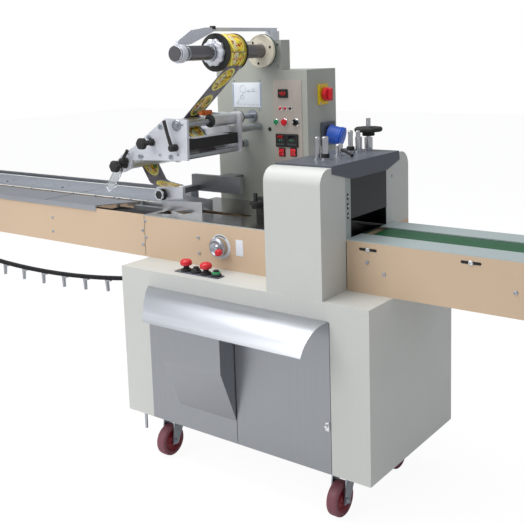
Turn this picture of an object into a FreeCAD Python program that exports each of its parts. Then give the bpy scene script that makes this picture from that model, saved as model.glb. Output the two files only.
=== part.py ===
import FreeCAD, Part
import math
import os

# Horizontal flow wrapper. x runs along the line from the cabinet's right face (infeed is -x),
# y goes back from the cabinet's front face, z goes up from the floor. All sizes are in mm.

# Cabinet
cabinet_width = 950.0
cabinet_depth = 530.0
cabinet_height = 510.0
ground_clearance = 155.0
sheet = 3.0
bay_left_margin = 118.0
bay_right_margin = 126.0
bay_band = 55.0
bay_gap = 2.0
chute_width = 236.0
chute_reach = 70.0
chute_from_left = 124.0
visor_reach = 122.0
visor_drop = 73.0
visor_sheet = 2.0
visor_left_taper = 88.0
visor_right_taper = 14.0

# Line beam
infeed_length = 2340.0
discharge_length = 480.0
beam_near = 136.0
beam_width = 294.0
beam_height = 150.0
body_overhang = 18.0
slot_width = 20.0
table_sheet = 3.0
table_rise = 10.0
table_lip = 19.0
guide_rail_rise = 28.0
back_lip_rise = 37.0
table_stop = 1134.0
table_cut = 79.0
flange_width = 90.0
belt_sheet = 3.0
belt_roller_radius = 30.0
belt_roller_inset = 40.0

# Infeed chain
chain_drop = 41.0
chain_thick = 14.0
chain_wide = 16.0
sag_radius = 4234.0
sag_drop = 301.5
sag_left = 863.0
drive_radius = 85.0
tail_radius = 45.0
finger_count = 39
finger_length = 47.0
finger_offset = 75.0

# End sealing housing
housing_width = 194.0
housing_right = 150.0
housing_rise = 220.0
front_tower_near = 3.0
front_tower_round = 45.0
rear_tower_near = 382.0
rear_tower_round = 48.0
cover_sheet = 5.0
post_height = 67.0

# Control tower
tower_right = 535.0
tower_width = 406.0
tower_depth = 187.0
tower_rise = 482.0
tower_drop = 125.0

# Film reel
reel_inset = 165.0
reel_rise = 69.0
shaft_radius = 24.0
roll_radius = 61.0
roll_width = 88.0
roll_near = 242.0
flange_radius = 59.5
running_gap = 0.05

# Feed unit
feed_near = 118.0
feed_plate = 10.0
feed_far = 400.0
idler_radius = 18.0
feed_roller_radius = 22.0

# Casters
wheel_radius = 52.5
wheel_width = 34.0
caster_trail = 32.0
caster_side = 139.0
caster_left = 820.0
caster_inset = 92.0
pin_radius = 8.0
axle_radius = 6.0
clearance = 5.0

# Derived positions
cabinet_left = -cabinet_width
cabinet_base = ground_clearance
cabinet_top = cabinet_base + cabinet_height
deck = cabinet_top + beam_height
beam_far = beam_near + beam_width
line_middle = (beam_near + beam_far) / 2
infeed_end = cabinet_left - infeed_length
body_left = cabinet_left - body_overhang
housing_face = -housing_right
housing_left = housing_face - housing_width
tower_face = cabinet_depth
tower_x1 = -tower_right
tower_x0 = tower_x1 - tower_width
tower_rear = tower_face + tower_depth
tower_top = deck + tower_rise
tower_bottom = deck - tower_drop
housing_top = deck + housing_rise
reel_x = tower_x1 - reel_inset
reel_z = tower_top + reel_rise
frame_shift = FreeCAD.Vector(
    -(infeed_end + discharge_length) / 2, (visor_reach - tower_rear) / 2, 0
)

V = FreeCAD.Vector
os.makedirs("parts", exist_ok=True)


def box(x0, x1, y0, y1, z0, z1):
    """Block between two corners."""
    return Part.makeBox(x1 - x0, y1 - y0, z1 - z0, V(x0, y0, z0))


def rod(start, end, radius):
    """Round bar between two points."""
    along = V(*end) - V(*start)
    return Part.makeCylinder(radius, along.Length, V(*start), along)


def tube(start, end, radius, bore):
    """Round bar with a hole right through it."""
    return rod(start, end, radius).cut(rod(start, end, bore))


def across(x, z, y0, y1, radius):
    """Round bar along y."""
    return rod((x, y0, z), (x, y1, z), radius)


def sleeve(x, z, y0, y1, radius, bore):
    """Round sleeve along y."""
    return tube((x, y0, z), (x, y1, z), radius, bore)


def prism(points, along):
    """Polygon through the given points, extruded by a vector."""
    corners = [V(*p) for p in points]
    return Part.Face(Part.makePolygon(corners + corners[:1])).extrude(V(*along))


def side_prism(yz, x0, x1):
    """Polygon in the y-z plane, extruded from x0 to x1."""
    return prism([(x0, y, z) for y, z in yz], (x1 - x0, 0, 0))


def face_prism(xz, y0, y1):
    """Polygon in the x-z plane, extruded from y0 to y1."""
    return prism([(x, y0, z) for x, z in xz], (0, y1 - y0, 0))


def plan_prism(xy, z0, z1):
    """Polygon in plan, extruded from z0 to z1."""
    return prism([(x, y, z0) for x, y in xy], (0, 0, z1 - z0))


def joined(first, *rest):
    """One solid from several that share faces or overlap."""
    return first.fuse(list(rest)).removeSplitter()


def save(node, *solids):
    """Moves the solids to the row frame and writes them as one step file."""
    whole = solids[0] if len(solids) == 1 else Part.Compound(list(solids))
    moved = whole.copy()
    moved.translate(frame_shift)
    moved.exportStep("parts/" + node + ".step")


# Cabinet: sheet shell with an open bay behind the stainless front
bay_x0 = cabinet_left + bay_left_margin
bay_x1 = -bay_right_margin
bay_top = cabinet_top - bay_band
stop_lip = 20.0
shell = box(cabinet_left, 0, 0, cabinet_depth, cabinet_base, cabinet_top)
shell = shell.cut(
    box(
        cabinet_left + sheet,
        -sheet,
        2 * sheet,
        cabinet_depth - sheet,
        cabinet_base + sheet,
        cabinet_top - sheet,
    )
)
shell = shell.cut(box(bay_x0, bay_x1, 0, sheet, cabinet_base, bay_top))
shell = shell.cut(
    box(
        bay_x0 + stop_lip,
        bay_x1 - stop_lip,
        sheet,
        2 * sheet,
        cabinet_base + stop_lip,
        bay_top - stop_lip,
    )
)
well_near = line_middle - 40
well_far = line_middle + 40
well_right = cabinet_left + 310
well_floor = deck - 320
well = box(cabinet_left, well_right, well_near, well_far, well_floor, cabinet_top)
well_hollow = box(
    cabinet_left, well_right - sheet, well_near + sheet, well_far - sheet, well_floor + sheet, cabinet_top
)
save("cabinet_shell", shell.fuse(well).cut(well_hollow).removeSplitter())

# Stainless bay front, with the waste chute standing out of it and the door to its right
chute_x0 = bay_x0 + chute_from_left
chute_x1 = chute_x0 + chute_width
front_top = bay_top - bay_gap
front = box(bay_x0, chute_x1, 0, sheet, cabinet_base, front_top)
chute_mouth = box(chute_x0 + sheet, chute_x1 - sheet, 0, sheet, cabinet_base + 78, front_top - 12)
save("bay_door", box(chute_x1 + bay_gap, bay_x1 - bay_gap, 0, sheet, cabinet_base, front_top))
chute_low = cabinet_base + 75
chute_bend = cabinet_base + 249
chute_high = front_top - 22
chute = side_prism(
    [(0, chute_low), (-chute_reach, chute_bend), (-chute_reach, chute_high), (0, front_top - 9)],
    chute_x0,
    chute_x1,
)
chute_hollow = side_prism(
    [
        (0, chute_low + 6),
        (sheet - chute_reach, chute_bend + 2),
        (sheet - chute_reach, chute_high - sheet),
        (0, front_top - 12),
    ],
    chute_x0 + sheet,
    chute_x1 - sheet,
)
save("bay_front", front.cut(chute_mouth), chute.cut(chute_hollow))

# Visor: curved stainless sheet over the bay, its ends slanting in towards the lip
visor_top = bay_top + visor_sheet
lip_z = visor_top - visor_drop


def visor_arc(offset):
    """Profile of the visor's sheet, moved inward by an offset."""
    return Part.Arc(
        V(0, 0, visor_top - offset),
        V(0, -0.56 * visor_reach, visor_top - 0.2 * visor_drop - offset),
        V(0, -visor_reach + 0.4 * offset, lip_z - 0.8 * offset),
    ).toShape()


outer_arc = visor_arc(0)
inner_arc = visor_arc(visor_sheet)
ends = [
    Part.makeLine(outer_arc.Vertexes[i].Point, inner_arc.Vertexes[i].Point) for i in (0, 1)
]
visor_face = Part.Face(Part.Wire(Part.__sortEdges__([outer_arc, inner_arc] + ends)))
visor_band = visor_face.extrude(V(cabinet_width, 0, 0))
visor_band.translate(V(cabinet_left, 0, 0))
visor_plan = plan_prism(
    [
        (bay_x0 + 4, 0),
        (bay_x1 - 4, 0),
        (bay_x1 - 4 - visor_right_taper, -visor_reach),
        (bay_x0 + 4 + visor_left_taper, -visor_reach),
    ],
    cabinet_base,
    cabinet_top,
)
save("visor", visor_band.common(visor_plan))

# Push buttons on the cabinet's ledge
plate_x0 = cabinet_left + 210
button_y = beam_near - 83
button_plate = box(plate_x0, plate_x0 + 185, button_y - 20, button_y + 17, cabinet_top, cabinet_top + sheet)
buttons = [button_plate]
for step, mushroom in enumerate([True, False, True, False]):
    x = plate_x0 + 37 + 42 * step
    base = cabinet_top + sheet
    if mushroom:
        stem = rod((x, button_y, base), (x, button_y, base + 20), 9)
        cap = rod((x, button_y, base + 20), (x, button_y, base + 40), 20)
        buttons.append(joined(stem, cap))
    else:
        buttons.append(rod((x, button_y, base), (x, button_y, base + 16), 16))
save("deck_buttons", *buttons)

# Body housing: tan panels either side of the drive, closed at the right
panel = 3.0
deck_sheet = 4.0
panel_top = deck - deck_sheet
body_rear = cabinet_depth
body_panels = [
    box(body_left, housing_face, beam_near, beam_near + panel, cabinet_top, panel_top),
    box(body_left, housing_face, body_rear - panel, body_rear, cabinet_top, panel_top),
    box(housing_face - panel, housing_face, beam_near + panel, body_rear - panel, cabinet_top, panel_top),
    box(body_left, body_left + panel, beam_far, body_rear - panel, cabinet_top, panel_top),
]

# Body deck with the chain's slot, the jaw's slot and the forming openings
deck_slot_end = body_left + 350
near_plate = plan_prism(
    [
        (body_left, beam_near),
        (housing_face, beam_near),
        (housing_face, body_rear),
        (body_left, body_rear),
    ],
    panel_top,
    deck,
)
deck_cuts = [
    box(body_left, deck_slot_end, line_middle - slot_width, line_middle + slot_width, panel_top, deck),
    box(housing_left + 76, housing_left + 118, rear_tower_near - 212, rear_tower_near - 4, panel_top, deck),
    plan_prism(
        [
            (body_left + 27, line_middle - 112),
            (body_left + 88, line_middle - 96),
            (body_left + 24, line_middle - 36),
        ],
        panel_top,
        deck,
    ),
    plan_prism(
        [
            (body_left + 59, line_middle - 52),
            (body_left + 122, line_middle - 78),
            (body_left + 137, line_middle - 43),
            (body_left + 40, line_middle - 25),
        ],
        panel_top,
        deck,
    ),
]
save("body_deck", near_plate.cut(deck_cuts))

# Infeed beam: two tan side panels tied by ribs, with a dark bed under the open end of the table
infeed_panel_top = deck + table_rise - table_sheet
rib_z = deck - 125
ribs = [
    box(x, x + 30, beam_near + panel, beam_far - panel, rib_z, rib_z + 20)
    for x in (infeed_end + 700, infeed_end + 1500, body_left - 150)
]
near_infeed = box(infeed_end, body_left, beam_near, beam_near + panel, cabinet_top, infeed_panel_top)
far_infeed = box(infeed_end, body_left, beam_far - panel, beam_far, cabinet_top, infeed_panel_top)
open_end = cabinet_left - (table_stop + table_cut - cabinet_width)
low_top = box(open_end, body_left, 0, cabinet_depth, deck, infeed_panel_top)
end_plate = box(
    infeed_end, infeed_end + panel, beam_near + panel, beam_far - panel, cabinet_top, infeed_panel_top
)
save("infeed_side_panels", near_infeed.cut(low_top), far_infeed, end_plate, *ribs)
bed_top = deck - 14
save(
    "infeed_bed",
    box(open_end, body_left, beam_near + panel, line_middle - slot_width, bed_top - panel, bed_top),
    box(open_end, body_left, line_middle + slot_width, beam_far - panel, bed_top - panel, bed_top),
)

# Infeed table: near and far plates either side of the pusher slot, and the lip at the front
table_top = deck + table_rise
table_base = table_top - table_sheet
slot_near = line_middle - slot_width / 2
slot_far = line_middle + slot_width / 2
lip_y = beam_near - table_sheet
near_table = plan_prism(
    [
        (infeed_end, lip_y),
        (open_end, lip_y),
        (open_end, beam_near + slot_width),
        (open_end + table_cut, slot_near),
        (infeed_end, slot_near),
    ],
    table_base,
    table_top,
)
lip = box(infeed_end, open_end, lip_y, beam_near, table_top - table_lip, table_base)
far_table = box(infeed_end, body_left, slot_far, beam_far, table_base, table_top)
back_lip = box(
    infeed_end, body_left, beam_far - table_sheet, beam_far, table_top, deck + table_rise + back_lip_rise
)
save("infeed_table", joined(near_table, lip), joined(far_table, back_lip))
rail_y = beam_far - 38
bar_y = line_middle - slot_width / 2
save(
    "infeed_guides",
    box(infeed_end, body_left, rail_y - 4, rail_y, table_top, table_top + guide_rail_rise),
    box(open_end + table_cut, body_left, bar_y - 22, bar_y, bed_top, deck),
    box(open_end, body_left, slot_far, slot_far + 22, bed_top, table_base),
)

# Infeed chain: top run, drive sprocket, hanging return run and tail sprocket, all tangent
top_run = deck - chain_drop
sag_x = cabinet_left - sag_left
sag_low = top_run - sag_drop
sag_centre_z = sag_low + sag_radius


def sprocket_centre(radius, side):
    """Centre of a sprocket that touches both the top run and the sagging run."""
    z = top_run - radius
    reach = math.sqrt((sag_radius - radius) ** 2 - (sag_centre_z - z) ** 2)
    return sag_x + side * reach, z


drive_x, drive_z = sprocket_centre(drive_radius, 1)
tail_x, tail_z = sprocket_centre(tail_radius, -1)


def polar(x, z, radius, angle):
    """Point on a circle in the x-z plane."""
    return V(x + radius * math.cos(angle), 0, z + radius * math.sin(angle))


drive_touch = math.atan2(drive_z - sag_centre_z, drive_x - sag_x)
tail_touch = math.atan2(tail_z - sag_centre_z, tail_x - sag_x)
upward = math.pi / 2


def chain_loop(offset):
    """Closed outline of the chain, moved outward by an offset."""
    drive = [
        polar(drive_x, drive_z, drive_radius + offset, a)
        for a in (upward, (upward + drive_touch) / 2, drive_touch)
    ]
    sag = [
        polar(sag_x, sag_centre_z, sag_radius + offset, a)
        for a in (drive_touch, -upward, tail_touch)
    ]
    left = (tail_touch + upward) / 2 - math.pi
    tail = [
        polar(tail_x, tail_z, tail_radius + offset, a) for a in (tail_touch, left, upward)
    ]
    edges = [Part.Arc(*points).toShape() for points in (drive, sag, tail)]
    edges.append(Part.makeLine(tail[2], drive[0]))
    return Part.Face(Part.Wire(Part.__sortEdges__(edges)))


half = chain_thick / 2
ring = chain_loop(half).cut(chain_loop(-half))
band = ring.extrude(V(0, chain_wide, 0))
band.translate(V(0, line_middle - chain_wide / 2, 0))

sag_right_length = sag_radius * (drive_touch + upward)
drive_length = drive_radius * (upward - drive_touch)
top_length = drive_x - tail_x
tail_length = tail_radius * ((tail_touch - upward) % (2 * math.pi))
sag_left_length = sag_radius * (-upward - tail_touch)
loop_length = sag_right_length + drive_length + top_length + tail_length + sag_left_length


def chain_place(travel):
    """Point on the chain's middle and its outward angle, by distance from the sag's low point."""
    s = travel % loop_length
    if s < sag_right_length:
        angle = -upward + s / sag_radius
        return polar(sag_x, sag_centre_z, sag_radius, angle), angle
    s -= sag_right_length
    if s < drive_length:
        angle = drive_touch + s / drive_radius
        return polar(drive_x, drive_z, drive_radius, angle), angle
    s -= drive_length
    if s < top_length:
        return V(drive_x - s, 0, top_run), upward
    s -= top_length
    if s < tail_length:
        angle = upward + s / tail_radius
        return polar(tail_x, tail_z, tail_radius, angle), angle
    s -= tail_length
    angle = tail_touch + s / sag_radius
    return polar(sag_x, sag_centre_z, sag_radius, angle), angle


def finger(travel):
    """Tapered pusher on a short foot, standing out from the chain."""
    point, angle = chain_place(travel)
    out = V(math.cos(angle), 0, math.sin(angle))
    ahead = V(-out.z, 0, out.x)
    tip = half + finger_length
    outline = [(-5, 5), (24, 5), (24, 13), (6, 13), (3, tip), (-3, tip), (-5, 13)]
    corners = [point + ahead * a + out * b for a, b in outline]
    flat = Part.Face(Part.makePolygon(corners + corners[:1]))
    solid = flat.extrude(V(0, 12, 0))
    solid.translate(V(0, line_middle - 6, 0))
    return solid


pitch = loop_length / finger_count
save("infeed_chain", joined(band, *[finger(finger_offset + pitch * i) for i in range(finger_count)]))

sprocket_half = 5.0
tooth_gap = 0.3
sprockets = []
for x, z, radius, shaft, far in (
    (drive_x, drive_z, drive_radius, 12.0, body_rear - panel),
    (tail_x, tail_z, tail_radius, 10.0, beam_far - panel),
):
    wheel = across(x, z, line_middle - sprocket_half, line_middle + sprocket_half, radius - half - tooth_gap)
    hub = across(x, z, line_middle - 20, line_middle + 20, shaft + 12)
    axle = across(x, z, beam_near + panel, far, shaft)
    sprockets.append(joined(wheel, hub, axle))
save("infeed_sprockets", *sprockets)

# Infeed stand: two square legs inside the beam, cross bars and levelling feet
leg = 40.0
stand_x = infeed_end + 370
foot_height = 14.0
stud_top = 60.0
leg_ys = (beam_near + panel, beam_far - panel - leg)
stand = []
for y in leg_ys:
    stand.append(box(stand_x, stand_x + leg, y, y + leg, stud_top, deck - 60))
    centre = (stand_x + leg / 2, y + leg / 2)
    pad = rod((*centre, 0), (*centre, foot_height), 32)
    stud = rod((*centre, foot_height), (*centre, stud_top), 8)
    stand.append(joined(pad, stud))
for z in (100.0, 320.0):
    stand.append(box(stand_x + 5, stand_x + leg - 5, leg_ys[0] + leg, leg_ys[1], z, z + 30))
save("infeed_stand", *stand)

# Discharge beam: tan side panels, pale flanges, rollers and the green belt
discharge_x0 = housing_face
discharge_end = discharge_length
save(
    "discharge_side_panels",
    box(discharge_x0, discharge_end, beam_near, beam_near + panel, cabinet_top, deck),
    box(discharge_x0, discharge_end, beam_far - panel, beam_far, cabinet_top, deck),
    box(20, 50, beam_near + panel, beam_far - panel, cabinet_top, cabinet_top + 30),
    box(discharge_end - 160, discharge_end - 130, beam_near + panel, beam_far - panel, cabinet_top, cabinet_top + 30),
)
belt_near = beam_near + flange_width + clearance
belt_far = beam_far - flange_width - clearance
save(
    "discharge_flanges",
    box(discharge_x0, discharge_end, beam_near, beam_near + flange_width, deck, deck + panel),
    box(discharge_x0, discharge_end, beam_far - flange_width, beam_far, deck, deck + panel),
)
belt_top = deck + 1
roller_z = belt_top - belt_sheet - belt_roller_radius
roller_x0 = discharge_x0 + belt_roller_inset
roller_x1 = discharge_end - belt_roller_inset


def belt_outline(radius):
    """Face inside a belt loop of the given radius round the two rollers."""
    top = roller_z + radius
    low = roller_z - radius
    right = Part.Arc(V(roller_x1, 0, top), V(roller_x1 + radius, 0, roller_z), V(roller_x1, 0, low))
    left = Part.Arc(V(roller_x0, 0, low), V(roller_x0 - radius, 0, roller_z), V(roller_x0, 0, top))
    edges = [
        Part.makeLine(V(roller_x0, 0, top), V(roller_x1, 0, top)),
        right.toShape(),
        Part.makeLine(V(roller_x1, 0, low), V(roller_x0, 0, low)),
        left.toShape(),
    ]
    return Part.Face(Part.Wire(edges))


belt = belt_outline(belt_roller_radius + belt_sheet).cut(belt_outline(belt_roller_radius))
belt = belt.extrude(V(0, belt_far - belt_near, 0))
belt.translate(V(0, belt_near, 0))
save("discharge_belt", belt)
slide = box(
    roller_x0 + belt_roller_radius + 10,
    roller_x1 - belt_roller_radius - 10,
    beam_near + panel,
    beam_far - panel,
    belt_top - belt_sheet - 6,
    belt_top - belt_sheet,
)
rollers = [slide]
for x in (roller_x0, roller_x1):
    drum = across(x, roller_z, belt_near, belt_far, belt_roller_radius - tooth_gap)
    axle = across(x, roller_z, beam_near + panel, beam_far - panel, 8)
    rollers.append(joined(drum, axle))
save("discharge_rollers", *rollers)

# End sealing housing: front and rear towers, cover, guards, jaws
tower_yz = [
    V(0, front_tower_near, cabinet_top),
    V(0, front_tower_near, housing_top - front_tower_round),
    V(0, front_tower_near + front_tower_round, housing_top),
    V(0, beam_near, housing_top),
    V(0, beam_near, cabinet_top),
]


def rounded_tower(points, centre, radius, start):
    """Tower section with one round edge between its second and third points."""
    angle = math.radians(start - 45)
    middle = V(0, centre[0] + radius * math.cos(angle), centre[1] + radius * math.sin(angle))
    edges = [Part.makeLine(points[0], points[1]), Part.Arc(points[1], middle, points[2]).toShape()]
    for i in range(2, len(points)):
        edges.append(Part.makeLine(points[i], points[(i + 1) % len(points)]))
    face = Part.Face(Part.Wire(edges))
    solid = face.extrude(V(housing_width, 0, 0))
    solid.translate(V(housing_left, 0, 0))
    return solid


front_tower = rounded_tower(
    tower_yz,
    (front_tower_near + front_tower_round, housing_top - front_tower_round),
    front_tower_round,
    180,
)
save("housing_front_tower", front_tower)
rear_yz = [
    V(0, rear_tower_near, housing_top),
    V(0, body_rear - rear_tower_round, housing_top),
    V(0, body_rear, housing_top - rear_tower_round),
    V(0, body_rear, deck),
    V(0, rear_tower_near, deck),
]
rear_tower = rounded_tower(
    rear_yz, (body_rear - rear_tower_round, housing_top - rear_tower_round), rear_tower_round, 90
)
save("housing_rear_tower", rear_tower)

cover_x0 = housing_left
cover_y0 = front_tower_near + 61
cover_y1 = rear_tower_near + 80
flap = side_prism(
    [
        (cover_y0, housing_top + cover_sheet),
        (cover_y1, housing_top + cover_sheet),
        (cover_y1 + 4, housing_top - 23),
        (rear_tower_near, housing_top - 46),
        (beam_near + 36, housing_top - 45),
        (cover_y0 + 1, housing_top - 18),
    ],
    housing_face,
    housing_face + panel,
)
top_plate = box(cover_x0, housing_face + panel, cover_y0, cover_y1, housing_top, housing_top + cover_sheet)
save("housing_cover", joined(top_plate, flap))

guard_low = deck + 58
cheek = beam_near + 29
save(
    "throat_guards",
    box(housing_left, housing_face, beam_near, cheek, deck, housing_top),
    box(housing_face - panel, housing_face, cheek, rear_tower_near, guard_low, housing_top),
    box(housing_left, housing_left + panel, cheek, rear_tower_near, guard_low, housing_top),
)
jaw_x = housing_left + 97
jaw_upper = deck + 120
jaw_lower = cabinet_top + 75
jaws = []
for z, side in ((jaw_upper, -1), (jaw_lower, 1)):
    bar = across(jaw_x, z, cheek + 10, rear_tower_near - 10, 24)
    shoe_low = min(z, z + side * 56)
    shoe = box(jaw_x - 12, jaw_x + 12, cheek + 20, rear_tower_near - 20, shoe_low, shoe_low + 56)
    jaws.append(joined(bar, shoe))
jaws.append(across(jaw_x, jaw_upper, cheek, cheek + 10, 12))
jaws.append(across(jaw_x, jaw_upper, rear_tower_near - 10, rear_tower_near, 12))
jaws.append(across(jaw_x, jaw_lower, beam_near + panel, cheek + 10, 12))
jaws.append(across(jaw_x, jaw_lower, rear_tower_near - 10, body_rear - panel, 12))
save("seal_jaws", *jaws)

cover_top = housing_top + cover_sheet
posts = []
for x, y, radius, height in (
    (-116, line_middle - 110, 7.0, post_height),
    (-94, line_middle - 101, 9.5, post_height),
    (-119, line_middle + 87, 7.5, post_height),
    (-97, line_middle + 97, 7.0, post_height),
    (-106, line_middle - 4, 12.0, post_height - 33),
):
    px = housing_face + x
    foot = rod((px, y, cover_top), (px, y, cover_top + 6), radius + 5)
    post = rod((px, y, cover_top + 6), (px, y, cover_top + height), radius)
    posts.append(joined(foot, post))

spindle_x = housing_face - 91
spindle_y = rear_tower_near + 53
spindle_radius = 7.0
spindle_top = cover_top + 103
collar_top = cover_top + 42
spindle = joined(
    rod((spindle_x, spindle_y, cover_top), (spindle_x, spindle_y, collar_top), 13),
    rod((spindle_x, spindle_y, collar_top), (spindle_x, spindle_y, spindle_top), spindle_radius),
)
tube_x = spindle_x - 36
second_tube = rod((tube_x, spindle_y, cover_top), (tube_x, spindle_y, collar_top), 11)
save("cover_posts", *posts, spindle, second_tube)

# Star handwheel on the spindle
wheel_low = collar_top + clearance
wheel_plate = wheel_low + 12
lobes = 8
star = rod((spindle_x, spindle_y, wheel_plate), (spindle_x, spindle_y, wheel_plate + 16), 38)
grips = []
for i in range(lobes):
    turn_angle = 2 * math.pi * i / lobes
    gx = spindle_x + 36 * math.cos(turn_angle)
    gy = spindle_y + 36 * math.sin(turn_angle)
    grips.append(rod((gx, gy, wheel_plate), (gx, gy, wheel_plate + 16), 10))
hub = rod((spindle_x, spindle_y, wheel_low), (spindle_x, spindle_y, wheel_plate), 20)
bore = rod((spindle_x, spindle_y, wheel_low), (spindle_x, spindle_y, wheel_plate + 16), spindle_radius + running_gap)
save("height_handwheel", joined(star, hub, *grips).cut(bore))

# Phase handwheel on the body's front panel
phase_x = body_left + 344
phase_z = cabinet_top + 75
phase_pin = 6.0
blind_gap = 0.7
stub = across(phase_x, phase_z, beam_near - 24, beam_near, phase_pin)
boss = across(phase_x, phase_z, beam_near - 4, beam_near, 22)
save("body_housing", *body_panels, joined(stub, boss))
dial_back = beam_near - 4 - clearance
dial = across(phase_x, phase_z, dial_back - 19, dial_back, 32)
dial = dial.cut(across(phase_x, phase_z, beam_near - 24 - blind_gap, dial_back, phase_pin + running_gap))
grip = across(phase_x + 22, phase_z - 8, dial_back - 45, dial_back - 19, 10)
save("phase_handwheel", joined(dial, grip))

# Control tower behind the body, with its front panel, switch and socket
tower = box(tower_x0, tower_x1, tower_face, tower_rear, tower_bottom, tower_top)
inside = box(
    tower_x0 + sheet, tower_x1 - sheet, tower_face + sheet, tower_rear - sheet, tower_bottom, tower_top - sheet
)
save("control_tower", tower.cut(inside))
panel_x0 = tower_x1 - 145
panel_low = tower_top - 328
panel_high = tower_top - 34
face_plate = box(panel_x0, panel_x0 + 122, tower_face - 2, tower_face, panel_low, panel_high)
fittings = [face_plate]
for dx, dz, width, height in (
    (25, -95, 38, 26),
    (11, -272, 41, 45),
    (55, -272, 50, 45),
    (22, -306, 24, 27),
    (71, -304, 25, 27),
):
    x = panel_x0 + dx
    z = tower_top + dz
    fittings.append(box(x, x + width, tower_face - 8, tower_face - 2, z, z + height))
for dx, dz, radius, reach in (
    (31, -135, 6, 6),
    (52, -135, 6, 6),
    (74, -135, 6, 6),
    (12, -184, 9, 10),
    (49, -184, 11, 14),
    (96, -184, 12, 18),
):
    fittings.append(
        across(panel_x0 + dx, tower_top + dz, tower_face - 2 - reach, tower_face - 2, radius)
    )
save("tower_panel", *fittings)
switch_y = tower_face + 96
switch_z = tower_top - 90
switch_plate = box(tower_x1, tower_x1 + 8, switch_y - 30, switch_y + 30, switch_z - 36, switch_z + 36)
switch_pin = rod((tower_x1 + 8, switch_y, switch_z), (tower_x1 + 24, switch_y, switch_z), 5)
save("main_switch_base", joined(switch_plate, switch_pin))
knob_x = tower_x1 + 8 + clearance
knob = rod((knob_x, switch_y, switch_z), (knob_x + 14, switch_y, switch_z), 24)
knob = joined(knob, box(knob_x + 14, knob_x + 30, switch_y - 6, switch_y + 6, switch_z - 24, switch_z + 24))
pin_end = tower_x1 + 24 + blind_gap
knob_bore = rod((knob_x, switch_y, switch_z), (pin_end, switch_y, switch_z), 5 + running_gap)
save("main_switch_knob", knob.cut(knob_bore))
socket_y = tower_face + 125
socket_z = tower_top - 233
flange = box(tower_x1, tower_x1 + 8, socket_y - 45, socket_y + 45, socket_z - 42, socket_z + 42)
barrel = rod((tower_x1 + 8, socket_y, socket_z), (tower_x1 + 58, socket_y + 14, socket_z - 14), 33)
barrel = barrel.cut(box(tower_x1 - 60, tower_x1, tower_face, tower_rear + 60, tower_bottom, tower_top))
save("power_socket", joined(flange, barrel))

# Reel bracket on the tower's top, and the arm that carries the shaft's free end
bracket_x0 = tower_x1 - 306
bracket_x1 = tower_x1 - 106
bracket_y1 = tower_face + 53
bracket = box(bracket_x0, bracket_x1, tower_face, bracket_y1, tower_top, reel_z + 37)
shaft_hole = across(reel_x, reel_z, tower_face, tower_face + 48, shaft_radius + running_gap)
save("reel_bracket", bracket.cut(shaft_hole))
arm_z = reel_z + 69
arm_half = 6.0
arm_thick = 12.0
reach = roll_near - 3
ring_y0 = tower_face - 478
arm_bar = box(reel_x - arm_half, reel_x + arm_half, reach, bracket_y1, arm_z, arm_z + arm_thick)
arm_post = box(reel_x - 15, reel_x + 15, tower_face + 10, bracket_y1, reel_z + 37, arm_z)
hook = side_prism(
    [
        (ring_y0, reel_z + 23),
        (ring_y0 + 2, reel_z + 40),
        (ring_y0 + 63, reel_z + 72),
        (ring_y0 + 137, arm_z + arm_thick),
        (reach + 4, arm_z + arm_thick),
        (reach + 4, arm_z),
        (reach - 8, arm_z),
        (ring_y0 + 137, reel_z + 54),
        (ring_y0 + 64, reel_z + 29),
        (ring_y0 + 20, reel_z + 23),
    ],
    reel_x - 5,
    reel_x + 5,
)
end_ring = sleeve(reel_x, reel_z, ring_y0, ring_y0 + 18, shaft_radius + 6, shaft_radius + running_gap)
hook = hook.cut(across(reel_x, reel_z, 0, cabinet_depth, shaft_radius + 3))
save("reel_overarm", joined(arm_bar, arm_post, hook, end_ring))

# Reel: shaft with its shoulders, collars, flange and the film roll
shaft_near = tower_face - 492
roll_far = roll_near + roll_width
collar_bore = shaft_radius + tooth_gap
flange_y = tower_face - 45
shaft = joined(
    across(reel_x, reel_z, shaft_near, tower_face + 43, shaft_radius),
    across(reel_x, reel_z, roll_far + 8, roll_far + 13, shaft_radius + 5),
    across(reel_x, reel_z, flange_y + 20, flange_y + 26, shaft_radius + 5),
)
save("reel_shaft", shaft)
save(
    "reel_collars",
    sleeve(reel_x, reel_z, roll_near - 6, roll_near, roll_radius + 2, collar_bore),
    sleeve(reel_x, reel_z, roll_far, roll_far + 8, roll_radius + 1, collar_bore),
)
save(
    "reel_flanges",
    sleeve(reel_x, reel_z, roll_near - 24, roll_near - 6, 45, collar_bore),
    sleeve(reel_x, reel_z, flange_y, flange_y + 20, flange_radius, collar_bore),
)
save("film_roll", sleeve(reel_x, reel_z, roll_near, roll_far, roll_radius, collar_bore))

# Feed unit: near and far plates, cross bars, rollers, knobs and the levers


def feed_spot(dx, dz):
    """Point in the x-z plane, by its distances from the tower's right side and from the deck."""
    return tower_x1 + dx, deck + dz


feed_outline = [
    feed_spot(-293, 341),
    feed_spot(-196, 337),
    feed_spot(-201, 203),
    feed_spot(-457, 193),
    feed_spot(-509, 208),
    feed_spot(-449, 239),
]
tip_outline = [
    feed_spot(-509, 208),
    feed_spot(-457, 193),
    feed_spot(-469, 161),
    feed_spot(-505, 147),
    feed_spot(-543, 153),
    feed_spot(-547, 177),
]
feed_back = feed_near + feed_plate
feed_axis_x, feed_axis_z = feed_spot(-242, 319)
far_hole = across(feed_axis_x, feed_axis_z, feed_far, feed_far + feed_plate, 30)
near_plate_solid = face_prism(feed_outline, feed_near, feed_back)
far_plate_solid = face_prism(feed_outline, feed_far, feed_far + feed_plate).cut(far_hole)
near_arm = face_prism(tip_outline, feed_near, feed_back)
far_arm = face_prism(tip_outline, feed_far, feed_far + feed_plate)
save("feed_near_plate", joined(near_plate_solid, near_arm))
save("feed_far_plate", joined(far_plate_solid, far_arm))
bars = []
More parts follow.
